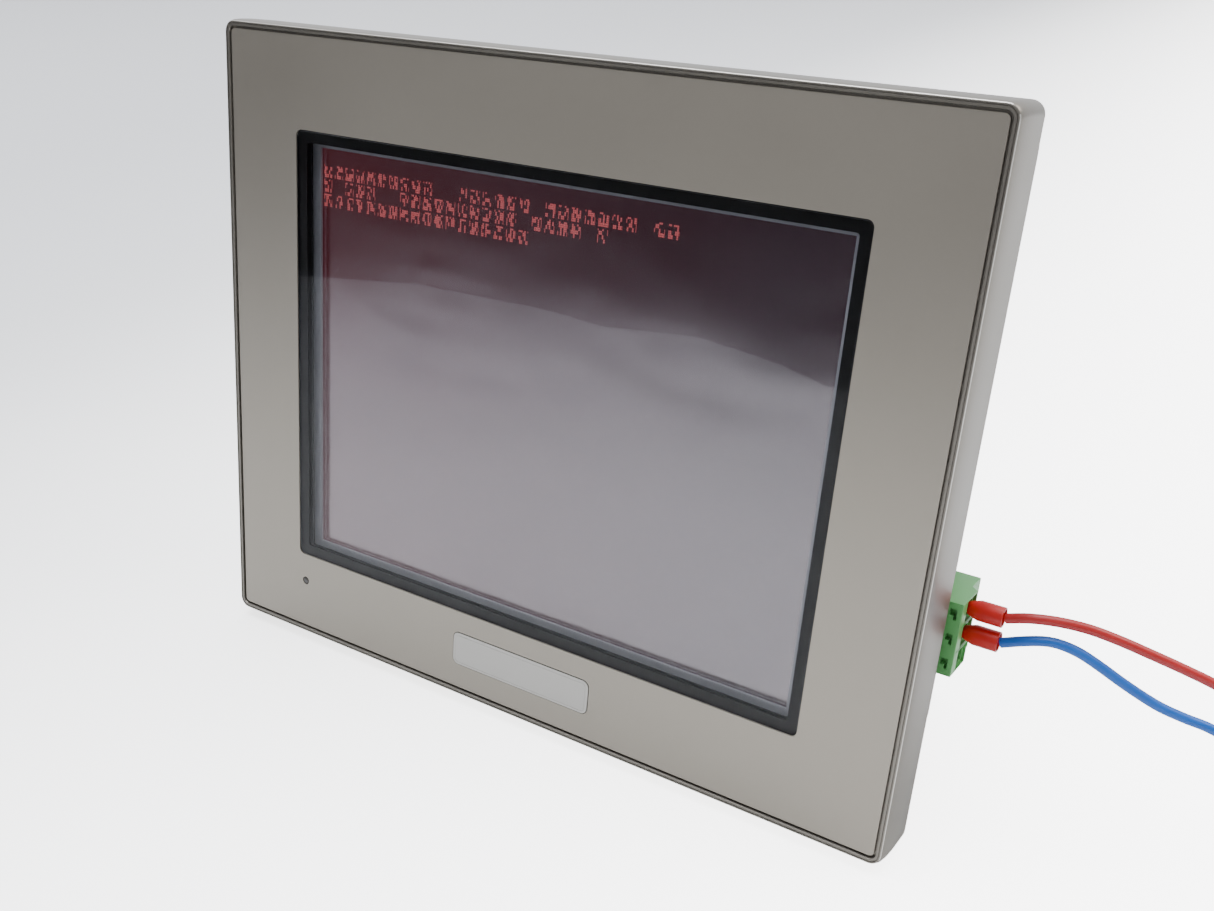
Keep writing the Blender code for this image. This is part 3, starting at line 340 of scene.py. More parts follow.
def display_material():
    made, tree = new_material("transflective_lcd_cell")
    place = node(tree, "TexCoord").outputs["Object"]
    on_panel = node(
        tree,
        "Mapping",
        {"Vector": place, "Location": PANEL.to_translation(), "Rotation": PANEL.to_euler()},
        vector_type="TEXTURE",
    )
    axes = node(tree, "SeparateXYZ", {0: on_panel})
    # The dot's place across and down, counted from the top left corner, and its cell's.
    per_dot = 1 / (DOT * MM)
    right_of_edge = {0: axes.outputs["X"], 1: per_dot, 2: VIEW_W / 2 / DOT}
    below_edge = {0: axes.outputs["Z"], 1: -per_dot, 2: VIEW_H / 2 / DOT}
    across = node(tree, "Math", right_of_edge, operation="MULTIPLY_ADD")
    down = node(tree, "Math", below_edge, operation="MULTIPLY_ADD")
    cells_across = node(tree, "Math", {0: across, 1: CELL_DOTS}, operation="DIVIDE")
    cells_down = node(tree, "Math", {0: down, 1: CELL_DOTS}, operation="DIVIDE")
    column = node(tree, "Math", {0: cells_across}, operation="FLOOR")
    row = node(tree, "Math", {0: cells_down}, operation="FLOOR")
    # Which cells hold a mosaic: three rows, each shorter than the one above, with some gaps.
    row_end = {0: row, 1: -FEWER_EACH_ROW, 2: LONGEST_ROW}
    last = node(tree, "Math", row_end, operation="MULTIPLY_ADD")
    short = node(tree, "Math", {0: column, 1: last}, operation="LESS_THAN")
    rows = node(tree, "Math", {0: row, 1: MIDDLE_ROW, 2: 1.1}, operation="COMPARE")
    in_row = node(tree, "Math", {0: short, 1: rows}, operation="MULTIPLY")
    from_edge = node(tree, "Math", {0: across, 1: 0.0}, operation="GREATER_THAN")
    in_text = node(tree, "Math", {0: in_row, 1: from_edge}, operation="MULTIPLY")
    cell_place = node(tree, "CombineXYZ", {0: column, 1: row, 2: 0.0})
    chance = node(tree, "TexWhiteNoise", {"Vector": cell_place}, noise_dimensions="3D")
    filled = node(tree, "Math", {0: chance, 1: EMPTY_CELLS}, operation="GREATER_THAN")
    # Which dots of a cell are lit: six across and seven down, in pairs one above the other.
    dot_x = node(tree, "Math", {0: across, 1: CELL_DOTS}, operation="MODULO")
    dot_y = node(tree, "Math", {0: down, 1: CELL_DOTS}, operation="MODULO")
    inside_x = node(tree, "Math", {0: dot_x, 1: 3.5, 2: 2.99}, operation="COMPARE")
    inside_y = node(tree, "Math", {0: dot_y, 1: 4.5, 2: 3.49}, operation="COMPARE")
    inside = node(tree, "Math", {0: inside_x, 1: inside_y}, operation="MULTIPLY")
    pairs = node(tree, "Math", {0: down, 1: 2}, operation="DIVIDE")
    dot_column = node(tree, "Math", {0: across}, operation="FLOOR")
    pair_row = node(tree, "Math", {0: pairs}, operation="FLOOR")
    dot_place = node(tree, "CombineXYZ", {0: dot_column, 1: pair_row, 2: 3.0})
    mosaic = node(tree, "TexWhiteNoise", {"Vector": dot_place}, noise_dimensions="3D")
    lit = node(tree, "Math", {0: mosaic, 1: 0.5}, operation="GREATER_THAN")
    # The dark gap between one dot and the next.
    part_x = node(tree, "Math", {0: across}, operation="FRACT")
    part_y = node(tree, "Math", {0: down}, operation="FRACT")
    open_x = node(tree, "Math", {0: part_x, 1: DOT_GAP}, operation="GREATER_THAN")
    open_y = node(tree, "Math", {0: part_y, 1: DOT_GAP}, operation="GREATER_THAN")
    open_dot = node(tree, "Math", {0: open_x, 1: open_y}, operation="MULTIPLY")
    cell_lit = node(tree, "Math", {0: in_text, 1: filled}, operation="MULTIPLY")
    dot_lit = node(tree, "Math", {0: inside, 1: lit}, operation="MULTIPLY")
    whole_dot = node(tree, "Math", {0: cell_lit, 1: dot_lit}, operation="MULTIPLY")
    text = node(tree, "Math", {0: whole_dot, 1: open_dot}, operation="MULTIPLY")
    # The backlight lies along the left side, so its red fades to the right, a little unevenly.
    cloud = node(tree, "TexNoise", {"Vector": place, "Scale": 1 / 0.035, "Detail": 3.0})
    to_right = {0: across, 1: -1 / DOTS_WIDE, 2: 0.9}
    fade = node(tree, "Math", to_right, operation="MULTIPLY_ADD")
    uneven = node(tree, "Math", {0: cloud, 1: 0.6, 2: 0.7}, operation="MULTIPLY_ADD")
    red_side = node(tree, "Math", {0: fade, 1: uneven}, operation="MULTIPLY")
    dark_red, lit_red = hexed("22101a"), hexed("451a21")
    field = node(tree, "Mix", {0: red_side, 6: dark_red, 7: lit_red}, data_type="RGBA")
    glow = node(tree, "Mix", {0: text, 6: field.outputs[2], 7: hexed("cc6062")}, data_type="RGBA")
    wide = node(tree, "Mapping", {"Vector": place, "Scale": (0.5, 1.0, 1.0)})
    wave = node(tree, "TexNoise", {"Vector": wide, "Scale": 1 / 0.028, "Detail": 2.0})
    bump = node(tree, "Bump", {"Height": wave, "Distance": 0.6 * MM, "Strength": 1.0})
    cell = node(
        tree,
        "BsdfPrincipled",
        {
            "Base Color": hexed("928f92"),
            "Metallic": 1.0,
            "Roughness": 0.18,
            "Normal": bump,
            "Emission Color": glow.outputs[2],
            "Emission Strength": 1.0,
        },
    )
    node(tree, "OutputMaterial", {"Surface": cell})
    return made


lcd_cell = display_material()
print("materials:", len(bpy.data.materials))

# %% [markdown]
# ## Cords first
# Two single supply wires leave the plug, arch over and fall to the table. There they lie in round
# coils. A wire is one curve: its route is a short list of given points, and its coil is
# worked out. The coil is wound as a person winds it, ring beside ring, with a short jog from one
# ring to the next, then a step up to the second layer and out again.

# %% The wires' sizes
WIRE_LENGTH, WIRE_D = 0.500, 0.002
RED_EXIT, BLUE_EXIT = (93.6, 22.5, -22.02), (93.6, 22.5, -27.1)
END_X = 188.7
COIL_CENTRE = {"red": (198.0, 15.0), "blue": (198.0, -17.0)}
RINGS = (13.0, 10.94, 8.88)
JOG, STEP_UP = (190.0, 250.0), (255.0, 335.0)
LOW, HIGH = 1.0, 3.0


def eased(value, start, end):
    t = min(max((value - start) / (end - start), 0.0), 1.0)
    return t * t * (3 - 2 * t)


def coil_point(centre, turned):
    """The wire's place after that many degrees of winding, clockwise from the coil's far side."""
    turn, angle = divmod(turned, 360.0)
    shift = eased(angle, *JOG)
    ring = turn + shift if turn < 2 else 2.0 if turn < 3 else 5.0 - turn - shift
    low, high = RINGS[math.ceil(ring)], RINGS[math.floor(ring)]
    radius = high + (low - high) * (ring % 1)
    height = LOW + (HIGH - LOW) * eased(turned, 720 + STEP_UP[0], 720 + STEP_UP[1])
    swing = math.radians(angle)
    return (centre[0] + radius * math.sin(swing), centre[1] + radius * math.cos(swing), height)


def smooth_line(route, step):
    """Points a step apart along a smooth curve through the route's own points."""
    points = np.array([route[0], *route, route[-1]], float)
    points[0] = 2 * points[1] - points[2]
    points[-1] = 2 * points[-2] - points[-3]
    fine = []
    for a, b, c, d in zip(points, points[1:], points[2:], points[3:]):
        for t in np.linspace(0, 1, 24, endpoint=False):
            bend = 2 * a - 5 * b + 4 * c - d
            fine.append(b + ((c - a) * t + bend * t**2 + (3 * b - 3 * c + d - a) * t**3) / 2)
    fine = np.array([*fine, points[-2]])
    along = np.r_[0, np.cumsum(np.linalg.norm(np.diff(fine, axis=0), axis=1))]
    wanted = np.linspace(0, along[-1], round(along[-1] / step) + 1)
    return np.stack([np.interp(wanted, along, fine[:, k]) for k in range(3)], axis=1)


def on_table(point):
    """A point of the panel's frame, in the world's millimetres."""
    return tuple(PANEL @ (Vector(point) * MM) / MM)


# %% The wires' routes
ROUTES = {
    "red": [
        on_table(RED_EXIT),
        (97.9, -9.7, 45.9),
        (102.9, -8.4, 46.1),
        (108.0, -6.8, 45.4),
        (113.2, -4.9, 43.7),
        (118.5, -2.7, 41.4),
        (123.9, -0.2, 38.8),
        (129.8, 2.6, 35.7),
        (138.5, 7.0, 30.3),
        (148.0, 12.0, 23.4),
        (157.5, 17.0, 15.6),
        (167.0, 21.3, 8.0),
        (177.0, 24.6, 2.8),
        (187.3, 27.2, 1.2),
    ],
    "blue": [
        on_table(BLUE_EXIT),
        (97.8, -10.7, 41.4),
        (101.2, -10.0, 42.2),
        (104.0, -9.4, 42.1),
        (107.4, -8.6, 41.0),
        (111.2, -7.6, 38.8),
        (114.9, -6.5, 36.3),
        (118.7, -5.2, 33.8),
        (122.5, -4.0, 31.7),
        (126.8, -2.4, 29.9),
        (131.8, -0.8, 28.2),
        (140.0, 0.6, 24.4),
        (150.0, 0.4, 18.3),
        (160.0, -1.4, 11.6),
        (169.5, -3.6, 5.8),
        (178.5, -4.3, 2.3),
        (187.3, -4.2, 1.2),
    ],
}


def make_wire(name, finish):
    """The whole wire as one curve on the plug's body."""
    centre = COIL_CENTRE[name]
    turns = [coil_point(centre, turned) for turned in range(0, 5 * 360 + 181, 15)]
    tail = [(END_X + 4, centre[1] - RINGS[0], 2.4), (END_X, centre[1] - RINGS[0], 2.0)]
    line = smooth_line([*ROUTES[name], *turns, *tail], 1.1)
    curve = bpy.data.curves.new(name + "_supply_wire", "CURVE")
    curve.dimensions = "3D"
    curve.bevel_depth = WIRE_D / 2
    curve.bevel_resolution = 3
    curve.use_fill_caps = True
    spline = curve.splines.new("POLY")
    spline.points.add(len(line) - 1)
    for point, where in zip(spline.points, line):
        point.co = (*(where * MM), 1)
    wire = bpy.data.objects.new(name + "_supply_wire", curve)
    bpy.context.scene.collection.objects.link(wire)
    curve.materials.append(finish)
    long = np.linalg.norm(np.diff(line, axis=0), axis=1).sum()
    print(wire.name, "is", round(long, 1), "mm long")
    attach(wire, "plug")
    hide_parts(name + "_wire", name + "_wire_coil")
    return wire


WIRES = {"red": make_wire("red", red_pvc), "blue": make_wire("blue", blue_pvc)}

# %% [markdown]
# ## Tools for modelling
# Each piece starts from a primitive and is shaped with the same operators as by hand. An
# operator works on what is selected, so these helpers select one object, or the faces and
# edges whose place passes a test, and nothing else.

# %% Selecting one object


def only(obj):
    if bpy.context.mode != "OBJECT":
        bpy.ops.object.mode_set(mode="OBJECT")
    bpy.ops.object.select_all(action="DESELECT")
    obj.select_set(True)
    bpy.context.view_layer.objects.active = obj


# %% Primitives at their size and place


def slab(name, low, high):
    """A box between two corners, in millimetres of the panel's frame."""
    low, high = Vector(low) * MM, Vector(high) * MM
    bpy.ops.object.select_all(action="DESELECT")
    bpy.ops.mesh.primitive_cube_add(size=1, location=(low + high) / 2)
    made = bpy.context.object
    made.name = made.data.name = name
    made.scale = high - low
    bpy.ops.object.transform_apply(location=True, rotation=True, scale=True)
    return made


def rod(name, start, end, radius, sides=32, tip=None):
    """A round bar between two points, or a cone if its tip has another radius."""
    start, end = Vector(start) * MM, Vector(end) * MM
    bpy.ops.object.select_all(action="DESELECT")
    bpy.ops.mesh.primitive_cone_add(
        vertices=sides,
        radius1=radius * MM,
        radius2=(radius if tip is None else tip) * MM,
        depth=(end - start).length,
        location=(start + end) / 2,
        rotation=(end - start).to_track_quat("Z", "Y").to_euler(),
    )
    made = bpy.context.object
    made.name = made.data.name = name
    bpy.ops.object.transform_apply(location=True, rotation=True, scale=True)
    return made


# %% Picking faces and edges


def pick_faces(obj, test):
    """Goes to edit mode with the faces whose middle, in mm, and normal pass the test."""
    only(obj)
    bpy.ops.object.mode_set(mode="EDIT")
    bpy.ops.mesh.select_mode(type="FACE")
    bpy.ops.mesh.select_all(action="DESELECT")
    shape = bmesh.from_edit_mesh(obj.data)
    for face in shape.faces:
        face.select_set(bool(test(face.calc_center_median() / MM, face.normal)))
    bmesh.update_edit_mesh(obj.data)


def pick_edges(obj, test):
    """Goes to edit mode with the edges whose two ends, in mm, pass the test."""
    only(obj)
    bpy.ops.object.mode_set(mode="EDIT")
    bpy.ops.mesh.select_mode(type="EDGE")
    bpy.ops.mesh.select_all(action="DESELECT")
    shape = bmesh.from_edit_mesh(obj.data)
    for edge in shape.edges:
        edge.select_set(bool(test(edge.verts[0].co / MM, edge.verts[1].co / MM)))
    bmesh.update_edit_mesh(obj.data)


def bevel(width, segments):
    bpy.ops.mesh.bevel(offset=width * MM, segments=segments, profile=0.5, affect="EDGES")
    bpy.ops.object.mode_set(mode="OBJECT")


def along_y(a, b):
    return abs(a.x - b.x) < 1e-3 and abs(a.z - b.z) < 1e-3


def at_y(height):
    return lambda a, b: abs(a.y - height) < 1e-3 and abs(b.y - height) < 1e-3


# %% Cuts, rounded edges and the last step of every piece


def apply_all(obj):
    only(obj)
    for modifier in list(obj.modifiers):
        bpy.ops.object.modifier_apply(modifier=modifier.name)


def cut(obj, *tools, operation="DIFFERENCE"):
    """Takes the tools' shapes out of the piece, or adds them, and removes the tools."""
    for tool in tools:
        change = obj.modifiers.new(tool.name, "BOOLEAN")
        change.operation, change.object, change.solver = operation, tool, "EXACT"
        apply_all(obj)
        bpy.data.objects.remove(tool)
    return obj


def soften(obj, width, segments=2, angle=35):
    """Rounds every edge sharper than the angle."""
    change = obj.modifiers.new("soften", "BEVEL")
    change.width, change.segments = width * MM, segments
    change.limit_method, change.angle_limit = "ANGLE", math.radians(angle)
    change.harden_normals = False
    apply_all(obj)
    return obj


def settle(obj, body, slot, finish, *nodes, leaning=True, angle=30):
    """Puts a finished piece where it belongs, on its body and in its finish."""
    only(obj)
    if leaning:
        obj.data.transform(PANEL)
    bpy.ops.object.shade_smooth_by_angle(angle=math.radians(angle))
    even = obj.modifiers.new("even_shading", "WEIGHTED_NORMAL")
    even.keep_sharp, even.weight = True, 100
    apply_all(obj)
    obj.data.materials.clear()
    obj.data.materials.append(finish)
    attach(obj, body)
    if nodes:
        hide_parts(*nodes)
    print(obj.name, "has", len(obj.data.polygons), "faces")
    return obj


# %% [markdown]
# ## The front frame
# On the real unit it is a die casting. Seen close, its rim is stepped: a rounded outer edge, a
# flat land, a fine groove, a second land, and the drop to the seat that holds the front sheet.
# It could be a profile swept round a rectangle, but then the corners would need mending. So a cube
# with beveled corners gives the outline. Its sides swell gently: its front face is extruded in
# three short steps and drawn in a little at each. Insets of the last face, some of them pushed in
# or out, then draw the whole rim in one go, and Boolean cuts hollow it from behind. All insets
# together stay narrower than the corner's radius, past which the corner would fold over itself.
# The rim's outermost edge gets a lighter finish on its narrow faces: a painted highlight, for the
# bright line that light draws along that edge.

# %% Front frame
BEZEL_X, BEZEL_Z, BEZEL_FRONT, BEZEL_BACK = 85.5, 69.0, -0.3, 13.5
POSTS = [(x, z) for x in (69.8, -69.8) for z in (55.3, -55.3)]
CORNER_ROUND, REAR_ROUND, FRONT_ROUND, HIGHLIGHT_WIDTH = 2.4, 2.2, 0.2, 0.25
# Each step of the swell: from y, to y, and how far it is drawn in.
SWELL_STEPS = [(5.5, 2.6, 0.12), (2.6, 0.7, 0.2), (0.7, BEZEL_FRONT, 0.28)]
# A lighter finish for the rim's outermost faces: a painted highlight along the edge.
painted_highlight_finish = surface(
    "painted_edge_highlight", ("c9c5bd", "d8d4cc"), 4, (0.3, 0.4), 0.3, 0.004, Metallic=0.7
)


def inset(*steps):
    """Insets the selected face step by step. A step is how far in, and how far out of the face."""
    for thickness, rise in steps:
        bpy.ops.mesh.inset(thickness=thickness * MM, depth=rise * MM)


def facing_front(middle, normal):
    return normal.y < -0.99


def outline():
    """The frame's outer shape, with the half sizes that its front face is left with."""
    start = SWELL_STEPS[0][0]
    frame_piece = slab("front_frame", (-BEZEL_X, start, -BEZEL_Z), (BEZEL_X, BEZEL_BACK, BEZEL_Z))
    pick_edges(frame_piece, along_y)
    bevel(CORNER_ROUND, 8)
    pick_edges(frame_piece, at_y(BEZEL_BACK))
    bevel(REAR_ROUND, 6)
    pick_faces(frame_piece, facing_front)
    half_x, half_z = BEZEL_X, BEZEL_Z
    for from_y, to_y, drawn_in in SWELL_STEPS:
        shift = Vector((0, to_y - from_y, 0)) * MM
        bpy.ops.mesh.extrude_region_move(TRANSFORM_OT_translate={"value": shift})
        narrower = (1 - drawn_in / half_x, 1, 1 - drawn_in / half_z)
        bpy.ops.transform.resize(value=narrower, center_override=(0, 0, 0))
        half_x, half_z = half_x - drawn_in, half_z - drawn_in
    bpy.ops.object.mode_set(mode="OBJECT")
    pick_edges(frame_piece, at_y(BEZEL_FRONT))
    bevel(FRONT_ROUND, 3)
    return frame_piece, half_x, half_z


def make_frame():
    frame_piece, half_x, half_z = outline()
    pick_faces(frame_piece, facing_front)
    inset((0.1, 0), (0.05, -0.2), (0.1, 0), (0.06, 0.14), (0.45, 0), (0.06, -0.12), (0.08, -0.8))
    bpy.ops.object.mode_set(mode="OBJECT")
    wide = slab("cavity_wide", (-76, 3.2, -51.9), (76, 20, 51.9))
    tall = slab("cavity_tall", (-66.5, 3.2, -59.5), (66.5, 21, 59.5))
    groove = slab("seal_groove", (-81.8, 11.5, -65.55), (81.8, 22, 65.55))
    cut(groove, slab("seal_land", (-78.45, 5, -62.2), (78.45, 23, 62.2)))
    opening = slab("touch_opening", (-68, -3, -51.7), (68, 5, 51.7))
    cut(frame_piece, wide, tall, groove, opening)
    cut(frame_piece, *[rod("boss_hole", (x, 5, z), (x, 16, z), 1.8, 20) for x, z in POSTS])
    cut(frame_piece, rod("light_hole", (-62.9, -2, -55.2), (-62.9, 6, -55.2), 1.2, 24))
    pick_faces(
        frame_piece,
        lambda middle, normal: -0.97 < normal.y < -0.45
        and middle.y < 0.1
        and (abs(middle.x) > half_x - HIGHLIGHT_WIDTH or abs(middle.z) > half_z - HIGHLIGHT_WIDTH),
    )
    shape = bmesh.from_edit_mesh(frame_piece.data)
    highlight_faces = [face.index for face in shape.faces if face.select]
    bpy.ops.object.mode_set(mode="OBJECT")
    settle(frame_piece, "unit", "bezel_metal", blasted_coat, "bezel_frame")
    # The rim's outermost faces get the lighter finish, a painted highlight.
    frame_piece.data.materials.append(painted_highlight_finish)
    for index in highlight_faces:
        frame_piece.data.polygons[index].material_index = 1
    print(len(highlight_faces), "faces of the rim are painted bright")


make_frame()

# %% [markdown]
# ## The front sheet and badge
# The sheet is a printed film with three openings: window, badge and status light. They could be
# drawn in its material, but a cut edge has a thickness that catches the light, so they are cut.
# The badge is a small stamped plate, blank here. It lies a little below the sheet, whose edge
# throws a thin shadow along its top and right side, and two insets sink its fine border line.

# %% Front sheet and badge
LAMP_X, LAMP_Z = -62.9, -55.2
BADGE_X, BADGE_Z, BADGE_W, BADGE_H, BADGE_FRONT = 0.2, -57.3, 35.9, 7.8, 0.04


def rounded_slab(name, low, high, radius, segments=8):
    made = slab(name, low, high)
    pick_edges(made, along_y)
    bevel(radius, segments)
    return made


def make_sheet():
    sheet = rounded_slab("printed_front_sheet", (-83.4, 0, -66.9), (83.4, 0.4, 66.9), 1.0)
    half_w, half_h = BADGE_W / 2 + 0.12, BADGE_H / 2 + 0.12
    window = rounded_slab("window_opening", (-64.75, -1, -48.4), (64.75, 1, 48.4), 1.35)
    badge = rounded_slab(
        "badge_opening",
        (BADGE_X - half_w, -2, BADGE_Z - half_h),
        (BADGE_X + half_w, 2, BADGE_Z + half_h),
        1.6,
    )
    hole = rod("light_opening", (LAMP_X, -1, LAMP_Z), (LAMP_X, 1, LAMP_Z), 0.95, 32)
    cut(sheet, window, badge, hole)
    soften(sheet, 0.05, 2, 50)
    return settle(sheet, "unit", "overlay_film", printed_film, "front_overlay")


def make_badge():
    left, bottom = BADGE_X - BADGE_W / 2 - 0.1, BADGE_Z - BADGE_H / 2 - 0.1
    top_right = (left + BADGE_W, 0.4, bottom + BADGE_H)
    badge = rounded_slab("blank_badge", (left, BADGE_FRONT, bottom), top_right, 1.5)
    pick_edges(badge, at_y(BADGE_FRONT))
    bevel(0.08, 2)
    pick_faces(badge, facing_front)
    inset((0.45, 0), (0.06, -0.05), (0.16, 0), (0.06, 0.05))
    bpy.ops.object.mode_set(mode="OBJECT")
    return settle(badge, "unit", "badge_metal", satin_plate, "badge_plate")


make_sheet()
make_badge()

# %% [markdown]
# The status light is the end of a smoked light pipe: a short rod whose front is slightly domed.
# A part of a sphere would do for the dome, but then the two shapes have to be joined. Here the
# rod's own front face is inset three times, each time a little further forward.

# %% Status light
smoked_pipe = surface("smoked_polycarbonate", ("4a4744", "55524e"), 2, (0.12, 0.2), 0.4, 0.002)


def make_light():
    pipe = rod("status_light", (LAMP_X, 11.5, LAMP_Z), (LAMP_X, 0.12, LAMP_Z), 0.78, 32)
    pick_faces(pipe, facing_front)
    inset((0.14, 0.1), (0.2, 0.06), (0.24, 0.02))
    bpy.ops.object.mode_set(mode="OBJECT")
    return settle(pipe, "unit", "lens_smoke", smoked_pipe, "status_lens")


make_light()

# %% [markdown]
# ## The power plug
# A three-pole screw terminal in green polyamide. Its body has a lower step in front and a tower
# behind, where the clamp screws go in. At each pole a square way in for the wire sits in a shallow
# tray, and a small hooked slot shows on the front. The tool that moulds it is made of blocks and
# pins, so it is modelled the same way: slabs and rods cut from one block. The edges are rounded
# before the cuts, because the holes of the real one are sharp.

# %% Power plug
PLUG_Z, PITCH = -27.1, 5.08
PLUG_IN, PLUG_OUT, TOWER_OUT = 69.7, 86.9, 85.5
PLUG_FRONT, PLUG_STEP, PLUG_REAR = 17.0, 26.3, 32.5
ENTRY_Y, CLAMP_X = 22.5, 79.3
PLUG_LOW, PLUG_HIGH = PLUG_Z - 7.55, PLUG_Z + 7.55
POLES = [PLUG_Z + PITCH, PLUG_Z, PLUG_Z - PITCH]


def make_plug():
    low, high = (PLUG_IN, PLUG_FRONT, PLUG_LOW), (PLUG_OUT, PLUG_STEP, PLUG_HIGH)
    plug = slab("pull_out_terminal", low, high)
    tower = slab("tower", (71.5, PLUG_STEP - 1, PLUG_LOW), (TOWER_OUT, PLUG_REAR, PLUG_HIGH))
    nose = slab("nose", (60.5, 19.2, PLUG_LOW + 0.45), (71, 25.8, PLUG_HIGH - 0.45))
    cut(plug, tower, nose, operation="UNION")
    pick_edges(plug, lambda a, b: min(a.x, b.x) > 84 and at_y(PLUG_STEP)(a, b))
    bevel(0.7, 1)
    soften(plug, 0.22, 2, 40)
    for z in POLES:
        tray = slab("tray", (86.3, 19.6, z - 2.2), (90, 25.4, z + 2.2))
        way_in = slab("way_in", (79, 20.4, z - 1.75), (90, 24.6, z + 1.75))
        barrel = slab("barrel_way", (73, 21.3, z - 1.2), (80, 23.7, z + 1.2))
        pin = slab("pin_way", (58, 21.4, z - 1.1), (69, 23.6, z + 1.1))
        screw_way = rod("screw_way", (CLAMP_X, 28, z), (CLAMP_X, 34, z), 2.0, 28)
        shaft_way = rod("shaft_way", (CLAMP_X, 23.0, z), (CLAMP_X, 29, z), 1.35, 20)
        slot = slab("test_slot", (84.5, 16, z - 0.2), (85.9, 18.3, z + 1.15))
        hook = slab("test_hook", (85.3, 16, z - 1.05), (85.9, 18.2, z + 0.1))
        cut(plug, tray, way_in, barrel, pin, screw_way, shaft_way, slot, hook)
    for z in (PLUG_Z + PITCH / 2, PLUG_Z - PITCH / 2):
        cut(plug, slab("pole_line", (86.55, 17.6, z - 0.13), (88, 25.6, z + 0.13)))
    return settle(plug, "plug", "terminal_green", terminal_nylon, "power_plug", angle=25)


PLUG = make_plug()

# %% [markdown]
# ## Ferrules
# Each end of a wire is crimped into a ferrule: a red collar that is open at the back, narrows in a
# cone, and holds a tinned copper tube. A spun profile would give the same shape. Extruding and
# scaling a cylinder's ends takes fewer steps, so one collar and one tube are modelled so on the
# X axis, and each copy has its own mesh.

# %% Ferrules
COLLAR_R, COLLAR_TIP, TUBE_R = 2.0, 1.1, 0.85
COLLAR_LONG, CONE_LONG, TUBE_LONG = 4.7, 2.6, 8.0


def grow(obj, shift, scale):
    """Extrudes the selected faces by a shift in mm and scales the new ones round the X axis."""
    bpy.ops.mesh.extrude_region_move(TRANSFORM_OT_translate={"value": Vector((shift, 0, 0)) * MM})
    bpy.ops.transform.resize(value=(1, scale, scale), center_override=(0, 0, 0))


def model_collar():
    """A collar with its open end at x = 0 and its cone towards -X."""
    collar = rod("collar", (-COLLAR_LONG, 0, 0), (0, 0, 0), COLLAR_R, 32)
    pick_faces(collar, lambda middle, normal: normal.x < -0.99)
    grow(collar, -CONE_LONG, COLLAR_TIP / COLLAR_R)
    bpy.ops.object.mode_set(mode="OBJECT")
    pick_faces(collar, lambda middle, normal: normal.x > 0.99)
    bpy.ops.mesh.inset(thickness=0.42 * MM, depth=0)
    grow(collar, -3.6, 0.97)
    bpy.ops.mesh.inset(thickness=0.3 * MM, depth=0)
    bpy.ops.object.mode_set(mode="OBJECT")
    return soften(collar, 0.14, 2, 20)


def model_tube():
    """The tinned tube, its far end drawn in to a short taper."""
    tube = rod("tube", (-COLLAR_LONG - CONE_LONG - TUBE_LONG, 0, 0), (-4.2, 0, 0), TUBE_R, 24)
    pick_faces(tube, lambda middle, normal: normal.x < -0.99)
    grow(tube, -0.25, 0.8)
    bpy.ops.object.mode_set(mode="OBJECT")
    return tube


def place_copy(source, name, at, finish, slot, leaning, nodes=()):
    copy = source.copy()
    copy.data = source.data.copy()
    copy.name = copy.data.name = name
    bpy.context.scene.collection.objects.link(copy)
    copy.data.transform(Matrix.Translation(Vector(at) * MM))
    return settle(copy, "plug", slot, finish, *nodes, leaning=leaning)


collar_model, tube_model = model_collar(), model_tube()
FITTINGS = {"red": [], "blue": []}
for colour, z in (("red", POLES[0]), ("blue", POLES[1])):
    near, far = (93.3, ENTRY_Y, z), (END_X, COIL_CENTRE[colour][1] - RINGS[0], 2.0)
    for where, at, leaning in (("ferrule", near, True), ("end_ferrule", far, False)):
        collar_name, tube_name = f"{colour}_{where}_collar", f"{colour}_{where}_tube"
        solids = (f"{colour}_{where}",)
        collar = place_copy(
            collar_model, collar_name, at, ferrule_pp, "ferrule_red", leaning, solids
        )
        tube = place_copy(tube_model, tube_name, at, tin_plate, "contact_tin", leaning)
        FITTINGS[colour] += [collar, tube]
for model in (collar_model, tube_model):
    bpy.data.objects.remove(model)

# %% [markdown]
# ## Pieces of the rear
# The housing, its door and the sockets are already the right shape, but their edges are knife
# sharp. A moulding never is, and a rounded edge is what catches the light. So each of these is a
# copy of its solid: doubled points are merged, flat triangles dissolved into whole faces, and
# every sharp edge rounded by the radius that its tool would leave.

# %% Rounded copies


def rounded_copy(node_name, body, slot, finish, width, segments=2):
    source = frame["nodes"][node_name]
    copy = source.copy()
    copy.data = source.data.copy()
    copy.name = copy.data.name = node_name + "_moulded"
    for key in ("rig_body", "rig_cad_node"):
        del copy[key]
    copy.parent = None
    copy.hide_render = copy.hide_viewport = False
    bpy.context.scene.collection.objects.link(copy)
    only(copy)
    bpy.ops.object.mode_set(mode="EDIT")
    bpy.ops.mesh.select_all(action="SELECT")
    bpy.ops.mesh.remove_doubles(threshold=0.002 * MM)
    bpy.ops.mesh.dissolve_limited(angle_limit=math.radians(0.6))
    bpy.ops.object.mode_set(mode="OBJECT")
    soften(copy, width, segments, 40)
    return settle(copy, body, slot, finish, node_name, leaning=False)


ROUNDED = {
    "rear_housing": ("unit", "housing_resin", eroded_abs, 0.3),
    "card_door": ("card_door", "housing_resin", eroded_abs, 0.12),
    "panel_gasket": ("unit", "gasket_rubber", epdm_rubber, 0.4),
    "network_port": ("unit", "socket_metal", tin_plate, 0.12),
    "usb_port": ("unit", "socket_metal", tin_plate, 0.12),
    "serial_port_shell": ("unit", "socket_metal", tin_plate, 0.15),
    "rating_plate": ("unit", "label_film", label_film, 0.05),
    "eject_button": ("eject_button", "insulator_black", black_epoxy, 0.15),
}
for node_name, (body, slot_name, finish, width) in ROUNDED.items():
    rounded_copy(node_name, body, slot_name, finish, width)
for number in range(1, 5):
    rounded_copy(f"case_screw_{number}", "unit", "screw_steel", zinc_steel, 0.08)
for number in (1, 2, 3):
    rounded_copy(f"clamp_screw_{number}", f"clamp_screw_{number}", "screw_steel", zinc_steel, 0.06)

